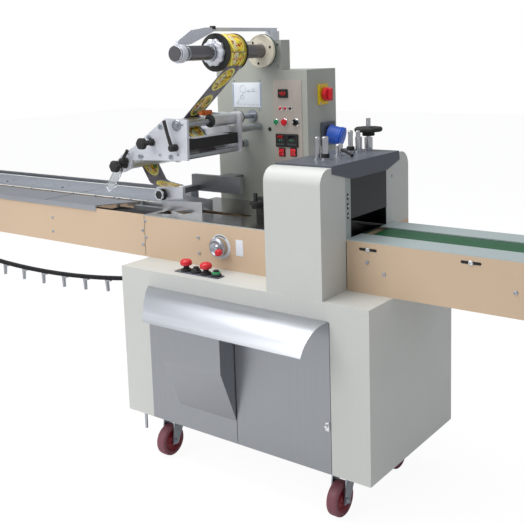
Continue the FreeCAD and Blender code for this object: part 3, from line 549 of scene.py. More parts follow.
def finishes():
    """All materials by name, made once."""
    known = bpy.data.materials
    if "cream_enamel" not in known:
        c = bpy.context.scene.wrapper_colours
        s = bpy.context.scene.wrapper_sizes
        width = roll_hi[1] - roll_lo[1]
        paint("cream_enamel", c.cream)
        paint("tan_enamel", c.tan, 0.4)
        paint("grey_enamel", c.grey)
        paint("cover_enamel", c.cover, 0.34)
        guard_sheet("guard_pale_and_black", (0.66, 0.68, 0.67), (0.05, 0.05, 0.065), row((0, BEAM_FRONT + 30, 0))[1])
        paint("pale_flange", c.flange, 0.3, 0.05)
        paint("panel_sheet", (0.71, 0.67, 0.64), 0.4, 0.05)
        paint("plate_white", (0.90, 0.92, 0.95), 0.3, 0.03)
        paint("plate_blue", (0.45, 0.55, 0.75), 0.35, 0.03)
        paint("flange_cream", (0.86, 0.83, 0.76), 0.35)
        paint("flange_green", (0.05, 0.24, 0.14), 0.3, coat=0.4)
        # One stainless steel, brushed along x and along z: the level parts' copy is painted lighter (1.14) as
        # painted light from above, the upright parts' copy darker (0.91) as painted shade.
        brushed("stainless_level_painted_lit", tuple(min(1.14 * v, 1.0) for v in c.steel), (3.0, 260.0, 260.0), 0.34)
        brushed("stainless_upright_painted_shade", tuple(0.91 * v for v in c.steel), (240.0, 240.0, 3.0), 0.36)
        brushed("deck_polished", (0.78, 0.77, 0.75), (2.0, 160.0, 160.0), 0.2)
        brushed("bright_steel", (0.86, 0.87, 0.88), (60.0, 60.0, 6.0), 0.2)
        brushed("shaft_steel", (0.50, 0.49, 0.50), (300.0, 8.0, 300.0), 0.3)
        satin("aluminium_plate", (0.86, 0.87, 0.90), (5.0, 180.0, 180.0))
        zinc("zinc_plated", (0.72, 0.74, 0.77))
        zinc("roller_white", (0.90, 0.91, 0.92), 0.42)
        moulded("black_plastic", (0.06, 0.06, 0.075))
        moulded("black_gloss", (0.045, 0.045, 0.06), 0.2, 0.05, 0.4)
        # Near-black: the real dark seams between panels, and painted shade in slots, holes and the infeed
        # bed, where there is only shadow.
        moulded("dark_joint_and_painted_shade", (0.10, 0.10, 0.11), 0.7)
        moulded("red_plastic", c.red, 0.28, 0.06, 0.5)
        moulded("green_plastic", (0.10, 0.55, 0.33), 0.3, 0.06, 0.4)
        moulded("yellow_plastic", c.yellow, 0.34, 0.08)
        moulded("blue_plastic", c.blue, 0.34, 0.08, 0.3)
        moulded("orange_plastic", (0.85, 0.42, 0.14), 0.3, 0.08)
        moulded("white_strip_and_highlight", (0.88, 0.88, 0.86), 0.36, 0.06)
        moulded("tread_red", c.wheel, 0.5, 0.4)
        moulded("rim_red", (0.50, 0.12, 0.17), 0.34, 0.15)
        belting("green_belt", c.belt)
        acrylic("clear_acrylic")
        glowing("digits_red", (0.95, 0.12, 0.10), 0.8)
        glowing("digits_green", (0.20, 0.70, 0.45), 0.5)
        chain_metal("chain", (0.13, 0.13, 0.14), (0.72, 0.73, 0.75), 40.0)
        printed("film_print", s.print_pitch, width, (0.44, 0.41, 0.45), 0.9)
        printed("roll_print", s.print_pitch * 0.62, width, (0.80, 0.70, 0.12), 0.5)
        moulded("film_wound", (0.62, 0.60, 0.48), 0.3, 0.1)
    return known


NODE_FINISHES = {
    "cream_enamel": ("cabinet_shell", "housing_front_tower", "housing_rear_tower"),
    "tan_enamel": ("body_housing", "infeed_side_panels", "discharge_side_panels"),
    "grey_enamel": ("control_tower", "reel_bracket"),
    "cover_enamel": ("housing_cover",),
    "guard_pale_and_black": ("throat_guards",),
    "pale_flange": ("discharge_flanges",),
    "stainless_upright_painted_shade": ("bay_front", "bay_door", "former_box"),
    "stainless_level_painted_lit": ("infeed_table", "infeed_guides", "visor", "former_shoulder"),
    "deck_polished": ("body_deck",),
    "bright_steel": ("cover_posts",),
    "roller_white": ("feed_roller", "film_idlers"),
    "zinc_plated": (
        "feed_cross_bars", "caster_mounts", "infeed_sprockets", "infeed_stand", "discharge_rollers",
        "seal_jaws", "caster_fork_front_right", "caster_fork_front_left", "caster_fork_rear_right",
        "caster_fork_rear_left",
    ),
    "shaft_steel": ("reel_shaft",),
    "aluminium_plate": ("feed_near_plate", "feed_far_plate", "former_bracket", "reel_overarm"),
    "black_plastic": ("feed_motor_block", "fin_seal_unit", "reel_collars"),
    # The infeed bed is near-black: painted shade for the shadowed inside of the beam.
    "dark_joint_and_painted_shade": ("infeed_bed",),
    "chain": ("infeed_chain",),
    "green_belt": ("discharge_belt",),
    "yellow_plastic": ("main_switch_base",),
    "clear_acrylic": ("clear_guard",),
}


def dress_nodes():
    """Gives each carried-over node its finish."""
    known = finishes()
    for material, nodes in NODE_FINISHES.items():
        for node in nodes:
            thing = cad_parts[node]
            if not thing.material_slots:
                thing.data.materials.append(None)
            for holder in thing.material_slots:
                holder.material = known[material]


# Screws -------------------------------------------------------------------------------------------


def screw(centre, out, radius, up=UP):
    """Button-head screw with a socket sunk in its top."""
    profile = [(0, 1.2), (0.4, 1.2), (0.44, 2.6), (0.75, 2.7), (0.95, 1.9), (1, 0.6), (1, -0.6), (0, -0.6)]
    scaled = [(r * radius, h * radius / 6) for r, h in profile]
    return aimed(turned(scaled, 12), centre, out, up)


def build_screws():
    known = finishes()
    size = bpy.context.scene.wrapper_sizes.screw
    body_left = deck_lo[0]
    front = []
    for x, z in (
        (-1465, 758), (-1467, 704), (-1880, 758), (-1882, 704), (-2300, 758), (-2302, 704), (-2720, 758),
        (-2722, 704), (-3120, 758), (-3122, 704), (body_left - 9, 758), (body_left - 10, 708),
        (body_left + 4, 793), (body_left + 5, 734), (-719, 760), (-717, 707),
        (-81, 758), (-27, 730), (349, 734),
    ):
        front.append(screw((x, BEAM_FRONT, z), FRONT, size))
    for x in (-3000, -2200, -1400, 60, 340):
        for z in (758, 704):
            front.append(screw((x, BEAM_BACK, z), BACK, size))
    for x in (-820, -560, -300):
        front.append(screw((x, cabinet_depth(), 740), BACK, size))
    for x, z in ((-782, 1085), (-858, 1262), (-741, 1262), (-858, 1156), (-741, 1156)):
        front.append(screw((x, TOWER_FACE, z), FRONT, size * 0.7))
    for x, z in ((-858, 1032), (-776, 1036), (-849, 1128), (-940, 1024), (-1010, 1030), (-752, 1136)):
        front.append(screw((x, plate_lo[1], z), FRONT, size * 0.8))
    for z in (housing_lo[2] + 60, housing_hi[2] - 70):
        front.append(screw((cover_hi[0] - 3, 418, z), RIGHT, size * 0.7))
    for x in (-1279, -1189):
        front.append(screw((x, 290, span("infeed_table")[0][2] + 22), UP, size, BACK))
    piece("panel_screws", front, "machine", known["zinc_plated"])
    dark = []
    slots = []
    # Each slot is a thin dark block on the face: painted shade in the slot's opening.
    for x, z in ((-78, 795), (229, 797), (420, 797)):
        slots.append(aimed(block(57, 8, 1.0, 3.9, 0.3), (x, BEAM_FRONT, z), FRONT))
        dark.append(screw((x, BEAM_FRONT - 1.0, z), FRONT, size * 1.15))
    for z in (885, 913, 941):
        slots.append(aimed(block(7, 20, 1.0, 3.4, 0.3), (cover_hi[0] - 3, 149, z), RIGHT))
        dark.append(screw((cover_hi[0] - 2, 149, z), RIGHT, size * 0.55))
    piece("adjuster_slot_shade", slots, "machine", known["dark_joint_and_painted_shade"])
    piece("adjuster_screws", dark, "machine", known["roller_white"])


def cabinet_depth():
    """Back face of the body, from the cabinet's own box."""
    return span("cabinet_shell")[1][1]


# Film ---------------------------------------------------------------------------------------------


def tangent(c1, r1, c2, r2, side1, side2):
    """Touching points of a line from circle 1 to circle 2, on the given sides of its run."""
    run = np.subtract(c2, c1)
    swing = math.asin((side1 * r1 - side2 * r2) / np.linalg.norm(run))
    heading = math.atan2(run[1], run[0]) - swing
    normal = np.array([-math.sin(heading), math.cos(heading)])
    return np.array(c1) + side1 * r1 * normal, np.array(c2) + side2 * r2 * normal


def wrap(centre, radius, start, end, turn):
    """Arc round a circle from start to end, turning left (1) or right (-1)."""
    a0 = math.atan2(start[1] - centre[1], start[0] - centre[0])
    a1 = math.atan2(end[1] - centre[1], end[0] - centre[0])
    sweep = (a1 - a0) * turn % (2 * math.pi) * turn
    a = a0 + sweep * np.linspace(0, 1, 12)
    return np.stack([centre[0] + radius * np.cos(a), centre[1] + radius * np.sin(a)], -1)


def film_route():
    """The film's line in the x-z plane, from the roll over three idlers to the former."""
    gap = 1.2
    radius = 18.0 + gap
    roll = (REEL_X, REEL_Z)
    right = TOWER_RIGHT
    top = (right - 314, DECK + 313)
    low = (right - 273, DECK + 213)
    tip = (right - 525, DECK + 169)
    a = tangent(roll, (roll_hi[2] - roll_lo[2]) / 2 + 0.6, top, radius, 1, -1)
    b = tangent(top, radius, low, radius, -1, 1)
    c = tangent(low, radius, tip, radius, 1, -1)
    d = tangent(tip, radius, (right - 500, DECK + 94), 0, -1, 1)
    parts = [
        np.array(a), wrap(top, radius, a[1], b[0], 1), np.array(b), wrap(low, radius, b[1], c[0], -1),
        np.array(c), wrap(tip, radius, c[1], d[0], 1), np.array(d),
        np.array([(right - 480, DECK + 86), (right - 412, DECK + 77)]),
    ]
    line = np.concatenate(parts)
    keep = np.append(True, np.linalg.norm(np.diff(line, axis=0), axis=1) > 0.5)
    return line[keep]


def film_surface(name, line, y0, y1, material, steps=9, thick=0.5, bow=0.0):
    """Thin film: the line's points (along u) moved across the width (along v), with u and v kept as the
    film's own coordinates. bow lifts its middle as 1 - (2v - 1)^2."""
    run = np.append(0, np.cumsum(np.linalg.norm(np.diff(line, axis=0), axis=1)))
    even = np.arange(0, run[-1], 5.0)
    x = np.interp(even, run, line[:, 0])
    z = np.interp(even, run, line[:, 1])
    v = np.linspace(0, 1, steps)
    hump = bow * (1 - (2 * v - 1) ** 2)
    grid = np.stack(
        [x[:, None] + 0 * v, y0 + (y1 - y0) * v + 0 * x[:, None], z[:, None] + hump], -1
    )
    n, m = grid.shape[:2]
    u_index = np.arange(n - 1)[:, None] * m
    v_index = np.arange(m - 1)[None, :]
    first = u_index + v_index
    faces = np.stack([first, first + 1, first + m + 1, first + m], -1).reshape(-1, 4)
    mesh = bpy.data.meshes.new(name)
    mesh.from_pydata(row(grid.reshape(-1, 3)).tolist(), [], faces.tolist())
    layer = mesh.uv_layers.new(name="film")
    flat = np.stack([even[:, None] + 0 * v, v + 0 * even[:, None]], -1).reshape(-1, 2)
    layer.data.foreach_set("uv", flat[faces.ravel()].ravel().astype(np.float32))
    mesh.materials.append(material)
    mesh.polygons.foreach_set("use_smooth", np.ones(len(mesh.polygons), bool))
    thing = bpy.data.objects.new(name, mesh)
    bpy.context.scene.collection.objects.link(thing)
    wall = thing.modifiers.new("thickness", "SOLIDIFY")
    wall.thickness = thick * MM
    wall.offset = 0.0
    return thing


def build_film():
    known = finishes()
    y0, y1 = roll_lo[1], roll_hi[1]
    web = film_surface("film_strip", film_route(), y0, y1, known["film_print"])
    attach(web, "machine")
    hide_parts("film_web")
    radius = (roll_hi[2] - roll_lo[2]) / 2
    angle = np.linspace(0, 2 * np.pi, 145)
    ring = np.stack([REEL_X + radius * np.cos(angle), REEL_Z + radius * np.sin(angle)], -1)
    skin = film_surface("film_roll_skin", ring, y0 + 0.5, y1 - 0.5, known["roll_print"], 5, 0.6)
    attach(skin, "reel")
    core = 24.4
    profile = [(core, 0.6), (core + 3, 0.6), (core + 3.4, 1.4)]
    turns = np.linspace(core + 5, radius - 1.6, 26)
    for i, r in enumerate(turns):
        profile.append((r, 1.0 + 0.7 * (i % 2)))
    profile += [(radius - 0.7, 1.2), (radius - 0.7, y1 - y0 - 1.2)]
    for i, r in enumerate(turns[::-1]):
        profile.append((r, y1 - y0 - 1.0 - 0.7 * (i % 2)))
    profile += [(core, y1 - y0 - 1.0), (core, 0.6)]
    wound = piece(
        "film_roll_wound", [aimed(turned(profile, 72), (REEL_X, y0, REEL_Z), BACK)], "reel",
        known["film_wound"],
    )
    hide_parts("film_roll")


# Reel ---------------------------------------------------------------------------------------------


def build_reel():
    known = finishes()
    lo, hi = span("reel_flanges")
    shaft_lo = span("reel_shaft")[0]
    centre = np.array([REEL_X, 0, REEL_Z])
    radius = 59.0
    bore = 24.4
    flange_y = hi[1] - 20
    face = [(bore, 0), (bore + 8, 0), (bore + 9, 1.5), (radius - 6, 1.5), (radius - 5, 0), (radius - 2, 0)]
    face += [(radius - 1, 1.0), (radius - 1, 11), (bore, 11), (bore, 0)]
    piece(
        "reel_flange_face", [aimed(turned(face, 72), centre + (0, flange_y, 0), BACK)], "reel",
        known["flange_cream"],
    )
    rim = [
        (radius - 1, 11), (radius, 11.4), (radius + 0.4, 15), (radius - 1, 19.5), (bore, 20), (bore, 11),
        (radius - 1, 11),
    ]
    piece(
        "reel_flange_rim", [aimed(turned(rim, 72), centre + (0, flange_y, 0), BACK)], "reel",
        known["flange_green"],
    )
    near = lo[1]
    star = [
        (bore, 0), (bore + 6, -1), (bore + 10, 2), (41, 3), (44, 6), (44, 15), (42, 18),
        (bore, 18), (bore, 0),
    ]
    lobes = piece(
        "reel_star_nut", [aimed(lobed(star, 10, 0.045), centre + (0, near, 0), BACK)], "reel",
        known["aluminium_plate"],
    )
    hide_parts("reel_flanges")
    cap_y = shaft_lo[1]
    cap = [
        (0, 0.2), (6, 0.2), (7, 1.6), (12, 1.6), (13, 0.2), (19, 0.2), (22.2, 2.5), (24.2, 5),
        (24.2, 12), (0, 12),
    ]
    piece(
        "reel_end_cap", [aimed(turned(cap, 48), centre + (0, cap_y, 0), BACK)], "reel", known["bright_steel"],
    )
    grooves = []
    for y in (cap_y + 36, cap_y + 48, roll_lo[1] - 34):
        ring = [(24, 0), (25.4, 0.6), (25.4, 4.4), (24, 5), (24, 0)]
        grooves.append(aimed(turned(ring, 48), centre + (0, y, 0), BACK))
    piece("reel_shaft_rings", grooves, "reel", known["zinc_plated"])
    # The holes are shallow dark discs on the flange: painted shade in them.
    holes = []
    for a in (0.3, 2.4, 4.5):
        spot = centre + (44 * math.cos(a), flange_y - 0.4, 44 * math.sin(a))
        holes.append(aimed(turned([(0, 0), (4, 0), (4.2, 1), (4.2, 3), (0, 3)], 20), spot, BACK))
    piece("reel_flange_hole_shade", holes, "reel", known["dark_joint_and_painted_shade"])
    knob_y = roll_lo[1] - 12
    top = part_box("reel_overarm")[1].z / MM
    clamp = [(0, 0), (9, 0), (10, 1.5), (10, 9), (9, 10.5), (0, 10.5)]
    piece(
        "arm_clamp", [aimed(lobed(clamp, 5, 0.06, 60), (REEL_X, knob_y, top - 5), UP, BACK)], "machine",
        known["black_plastic"],
    )
    bracket_lo, bracket_hi = span("reel_bracket")
    bolts = []
    for x in (bracket_lo[0] + 16, bracket_hi[0] - 16):
        for z in (bracket_lo[2] + 14, bracket_hi[2] - 14):
            bolts.append(screw((x, bracket_lo[1], z), FRONT, 5.0))
    piece("bracket_screws", bolts, "machine", known["zinc_plated"])


# Control panel ------------------------------------------------------------------------------------


def digit_bars(x, y, z, height, shape):
    """Seven-segment figure facing the front: bars of a slanted eight, those that shape names."""
    w = height * 0.5
    half = height / 2
    bars = {
        "a": ((0, half), (w, half)), "b": ((w, half), (w, 0)), "c": ((w, 0), (w, -half)),
        "d": ((0, -half), (w, -half)), "e": ((0, 0), (0, -half)), "f": ((0, half), (0, 0)),
        "g": ((0, 0), (w, 0)),
    }
    grids = []
    for key in shape:
        (x0, z0), (x1, z1) = bars[key]
        path = np.array([(x + x0, y, z + z0), (x + (x0 + x1) / 2, y, z + (z0 + z1) / 2), (x + x1, y, z + z1)])
        middle = path.mean(0)
        grids.append(bar(middle + (path - middle) * 0.82, height * 0.07, 6, 0.5))
    return grids


def build_panel():
    known = finishes()
    face = TOWER_FACE - 2
    x0 = TOWER_RIGHT - 145
    plate = piece(
        "panel_sheet_plate",
        [aimed(block(122, 294, 2.2, 4, 0.6), (x0 + 61, TOWER_FACE + 0.2, TOWER_TOP - 181), FRONT)],
        "machine", known["panel_sheet"],
    )
    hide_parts("tower_panel")
    black = []
    for dx, dz, width, height, thick in (
        (44, -82, 42, 30, 5), (31.5, -249.5, 43, 47, 7), (80, -249.5, 50, 47, 7),
    ):
        black.append(aimed(block(width, height, thick, 2.5, 1.2), (x0 + dx, face, TOWER_TOP + dz), FRONT))
    for dx, dz in ((34, -292.5), (83.5, -290.5)):
        black.append(aimed(block(28, 31, 3, 2.5, 1.0), (x0 + dx, face, TOWER_TOP + dz), FRONT))
    piece("panel_bezels", black, "machine", known["black_plastic"])
    windows = [aimed(block(34, 20, 1, 1.5, 0.4), (x0 + 44, face - 4.8, TOWER_TOP - 82), FRONT)]
    for dx in (31.5, 80):
        windows.append(aimed(block(34, 18, 1, 1.5, 0.4), (x0 + dx, face - 6.8, TOWER_TOP - 239), FRONT))
    piece("panel_windows", windows, "machine", known["black_gloss"])
    red = []
    for i, shape in enumerate(("bcfg", "abcdef", "abged")):
        red += digit_bars(x0 + 32 + 9.5 * i, face - 6.0, TOWER_TOP - 82, 10, shape)
    for i, shape in enumerate(("abged", "acdfg", "abcdef")):
        red += digit_bars(x0 + 20 + 8.5 * i, face - 8.0, TOWER_TOP - 236, 7.5, shape)
    piece("panel_digits_red", red, "machine", known["digits_red"])
    green = []
    for x in (x0 + 19, x0 + 68):
        for i, shape in enumerate(("bc", "abcdefg", "abcdef")):
            green += digit_bars(x + 8.5 * i, face - 8.0, TOWER_TOP - 248, 5.0, shape)
    piece("panel_digits_green", green, "machine", known["digits_green"])
    keys = []
    for x in (x0 + 31.5, x0 + 80):
        for i in range(4):
            spot = (x - 13.5 + 9 * i, face - 6.6, TOWER_TOP - 263)
            keys.append(aimed(block(6, 4.5, 1.6, 1, 0.5), spot, FRONT))
    piece("panel_keys", keys, "machine", known["cover_enamel"])
    rings = []
    lamp_red = []
    lamp_dark = []
    for dx, lenses in ((31, lamp_red), (52, lamp_red), (74, lamp_dark)):
        spot = (x0 + dx, face, TOWER_TOP - 135)
        rings.append(aimed(turned([(6, -0.5), (8, 0), (8, 1.4), (6.2, 2.2), (6, -0.5)], 28), spot, FRONT))
        dome = [(0, -0.5), (6, -0.5), (6, 2)]
        dome += [(6 * math.cos(t), 2 + 4 * math.sin(t)) for t in (0.4, 0.8, 1.2)]
        lenses.append(aimed(turned(dome + [(0, 6)], 28), spot, FRONT))
    for dx, radius in ((12, 9), (49, 11), (96, 12)):
        ring = [
            (radius - 1, -0.5), (radius + 2.4, 0), (radius + 2.4, 2), (radius + 0.5, 3.4), (radius - 1, 3.4),
            (radius - 1, -0.5),
        ]
        rings.append(aimed(turned(ring, 36), (x0 + dx, face, TOWER_TOP - 184), FRONT))
    piece("panel_rings", rings, "machine", known["bright_steel"])
    button = [(0, -0.5), (0.92, -0.5), (0.95, 0.62), (0.85, 0.75), (0.4, 0.78), (0, 0.72)]
    green_cap = [(9.5 * r, 10 * h) for r, h in button]
    red_cap = [(12 * r, 16 * h) for r, h in button]
    lamp_red.append(aimed(turned(red_cap, 36), (x0 + 49, face, TOWER_TOP - 184), FRONT))
    piece("panel_red_parts", lamp_red, "machine", known["red_plastic"])
    piece(
        "panel_green_button", [aimed(turned(green_cap, 36), (x0 + 12, face, TOWER_TOP - 184), FRONT)],
        "machine", known["green_plastic"],
    )
    spot = (x0 + 96, face, TOWER_TOP - 184)
    knob = [(0, -0.5), (11.5, -0.5), (11.5, 8), (9.5, 10), (0, 10)]
    lamp_dark.append(aimed(turned(knob, 36), spot, FRONT))
    lamp_dark.append(aimed(block(6, 22, 8, 2.5, 1.4), (spot[0], face - 9.5, spot[2]), FRONT, UP + 0.6 * LEFT))
    piece("panel_selector", lamp_dark, "machine", known["black_gloss"])
    mark_spot = (spot[0] - 2.4, face - 17.4, spot[2] + 4.2)
    mark = aimed(block(2.4, 9, 0.8, 1, 0.3), mark_spot, FRONT, UP + 0.6 * LEFT)
    piece("panel_selector_mark", [mark], "machine", known["plate_white"])
    rockers = []
    for dx, dz in ((34, -292.5), (83.5, -290.5)):
        for side in (-1, 1):
            centre = (x0 + dx, face - 2.6, TOWER_TOP + dz + side * 6.1)
            rockers.append(aimed(block(21, 12.4, 4.4, 1.6, 0.8), centre, FRONT + side * 0.22 * UP))
    piece("panel_rockers", rockers, "machine", known["red_plastic"])


def build_tower_fittings():
    known = finishes()
    x, z = TOWER_RIGHT - 264.5, TOWER_TOP - 88
    face = TOWER_FACE
    piece("diagram_plate", [aimed(block(131, 90, 1.6, 2.5, 0.5), (x, face, z), FRONT)], "machine",
          known["plate_white"])
    edges = [aimed(block(3.4, 84, 0.5, 0.8, 0.2), (x + s * 62, face - 1.5, z), FRONT) for s in (-1, 1)]
    piece("diagram_edges", edges, "machine", known["plate_blue"])
    lines = []
    y = face - 1.7
    for cx, cz, r in ((-18, 22, 13), (-22, -8, 8), (8, 14, 4), (-44, -30, 4), (30, 18, 5)):
        a = np.linspace(0, 2 * np.pi, 25)
        ring = np.stack([x + cx + r * np.cos(a), y + 0 * a, z + cz + r * np.sin(a)], -1)
        lines.append(bar(ring, 0.45, 5))
    route = [(-44, -26), (-30, -14), (-12, 10), (4, 12), (28, 13), (48, 12)]
    path = np.array([(x + px, y, z + pz) for px, pz in route], float)
    lines.append(bar(path, 0.4, 5))
    for px in (-30, -10, 10, 30, 50):
        path = np.array([(x + px - 7, y, z - 34), (x + px, y, z - 34), (x + px + 5, y, z - 34)], float)
        lines.append(bar(path, 0.4, 5))
    piece("diagram_lines", lines, "machine", known["cover_enamel"])
    switch_y, switch_z = TOWER_FACE + 96, TOWER_TOP - 90
    right = TOWER_RIGHT
    lo = span("main_switch_knob")[0]
    body = [(0, 0), (24, 0), (25, 2), (24, 11), (21, 14), (0, 14)]
    grids = [
        aimed(lobed(body, 10, 0.02), (lo[0], switch_y, switch_z), RIGHT),
        aimed(block(13, 46, 15.5, 5, 2.5), (lo[0] + 13.5, switch_y, switch_z), RIGHT),
    ]
    knob = piece("switch_knob", grids, "main_switch", known["red_plastic"])
    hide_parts("main_switch_knob")
    dots = [
        screw((right + 8, switch_y + sy * 24, switch_z + sz * 30), RIGHT, 3.4)
        for sy in (-1, 1)
        for sz in (-1, 1)
    ]
    piece("switch_plate_screws", dots, "machine", known["zinc_plated"])
    socket_y, socket_z = TOWER_FACE + 125, TOWER_TOP - 233
    flange = aimed(block(90, 84, 8, 6, 2), (right, socket_y, socket_z), RIGHT)
    tilt = RIGHT + 0.28 * BACK + 0.28 * DOWN
    shell = [
        (0, 0), (33, 0), (34, 4), (33, 14), (33.5, 40), (36, 42), (36, 47), (33, 50), (28, 50),
        (27, 43), (0, 43),
    ]
    base = np.array([right + 6, socket_y, socket_z])
    blue = known["blue_plastic"]
    socket = piece("socket_shell", [aimed(turned(shell, 48), base, tilt)], "machine", blue)
    lid = [(0, 50.5), (35, 50.5), (36.4, 52), (36, 55), (30, 57.5), (0, 58)]
    piece("socket_lid", [aimed(turned(lid, 48), base, tilt)], "machine", blue)
    piece("socket_flange", [flange], "machine", known["cover_enamel"])
    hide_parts("power_socket")
    hole = [(0, 0.8), (3.4, 0.8), (4, 2.4), (6.4, 2.6), (7.4, 1.0), (7.4, -0.4), (0, -0.4)]
    piece("cable_grommet", [aimed(turned(hole, 24), (right - 165, face, TOWER_TOP - 211), FRONT)], "machine",
          known["black_plastic"])


# Handwheels, knobs and buttons --------------------------------------------------------------------


def build_handwheels():
    known = finishes()
    lobes = bpy.context.scene.wrapper_sizes.lobes
    lo, hi = span("height_handwheel")
    centre = np.array([(lo[0] + hi[0]) / 2, (lo[1] + hi[1]) / 2, lo[2]])
    bore = 7.1
    profile = [
        (bore, 0), (18, 0), (20, 2), (19, 9), (22, 12), (34, 12.5), (42, 14), (44.5, 18), (44, 24),
        (40, 27.5), (30, 27), (18, 24), (14, 27), (12, 28), (bore, 28), (bore, 0),
    ]
    star = piece(
        "height_star", [aimed(lobed(profile, lobes, 0.035), centre, UP, BACK)], "height_handwheel",
        known["black_plastic"],
    )
    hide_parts("height_handwheel")
    lo, hi = span("phase_handwheel")
    centre = np.array([lo[0] + 32, hi[1], hi[2] - 32])
    dial = [
        (6.1, 0), (20, 0), (28, 1.5), (31.4, 5), (32, 8), (31.4, 12), (28, 15.5), (24, 16.5), (20, 14),
        (12, 13), (9, 17), (7.5, 19), (0, 19.6), (0, 17.5), (6.1, 17.5), (6.1, 0),
    ]
    disc = piece(
        "phase_dial", [aimed(turned(dial, 64), centre, FRONT)], "phase_handwheel", known["zinc_plated"],
    )
    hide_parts("phase_handwheel")
    grip = [(0, -3), (4, -3), (5, 3), (9, 6), (11.5, 12), (11.5, 19), (9, 24), (4, 26), (0, 26.2)]
    piece(
        "phase_grip", [aimed(turned(grip, 32), centre + (24, -16, -9), FRONT)], "phase_handwheel",
        known["red_plastic"],
    )
    scale_ring = [(30, 0), (41, 0), (41, 0.8), (30, 0.8), (30, 0)]
    scale = aimed(turned(scale_ring, 64), (centre[0], BEAM_FRONT, centre[2]), FRONT)
    piece("phase_scale", [scale], "machine", known["plate_white"])
    a = np.linspace(0.9, 2.2, 14)
    arc = np.stack([centre[0] + 36 * np.cos(a), BEAM_FRONT - 0.9 + 0 * a, centre[2] + 36 * np.sin(a)], -1)
    piece("phase_arrow", [bar(arc, 1.6, 8, 0.5)], "machine", known["black_plastic"])


def build_buttons():
    known = finishes()
    lo = span("deck_buttons")[0]
    x0, base = lo[0], span("cabinet_shell")[1][2]
    y = lo[1] + 20
    plate = piece(
        "button_plate", [aimed(block(185, 37, 3, 5, 0.8), (x0 + 92.5, y - 1.5, base), UP, BACK)], "machine",
        known["cover_enamel"],
    )
    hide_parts("deck_buttons")
    collars = []
    red = []
    black = []
    green = []
    mushroom = [(0, 18), (12, 18), (18, 20), (20, 24), (20, 29), (17.5, 35), (12, 38.6), (5, 40), (0, 40)]
    flush = [(0, 2), (13.5, 2), (14, 12), (12.5, 14), (6, 14.2), (0, 13.6)]
    for i in range(4):
        spot = (x0 + 37 + 42 * i, y, base + 3)
        collar = [(0, -0.5), (17.5, -0.5), (18, 1), (17, 6), (15, 7.5), (9.5, 8), (9, 19), (0, 19)]
        collars.append(aimed(turned(collar, 36), spot, UP, BACK))
        if i % 2 == 0:
            red.append(aimed(turned(mushroom, 36), spot, UP, BACK))
        else:
            (green if i == 3 else black).append(aimed(turned(flush, 36), spot, UP, BACK))
    piece("button_collars", collars, "machine", known["black_plastic"])
    piece("button_mushrooms", red, "machine", known["red_plastic"])
    piece("button_black", black, "machine", known["black_gloss"])
    piece("button_green", green, "machine", known["green_plastic"])
    blank = aimed(block(29, 53, 0.8, 2, 0.2), (-545.5, BEAM_FRONT, 744.5), FRONT)
    piece("blank_plate", [blank], "machine", known["plate_white"])
    latch_x = span("bay_door")[1][0] - 9
    latch = [
        aimed(block(13, 26, 5, 2.5, 1.2), (latch_x, 0, 300), FRONT),
        aimed(turned([(0, 0), (5, 0), (5, 8), (4, 9.5), (0, 9.5)], 20), (latch_x, -4, 304), FRONT),
    ]
    piece("bay_latch", latch, "machine", known["bright_steel"])


# Feed unit ----------------------------------------------------------------------------------------


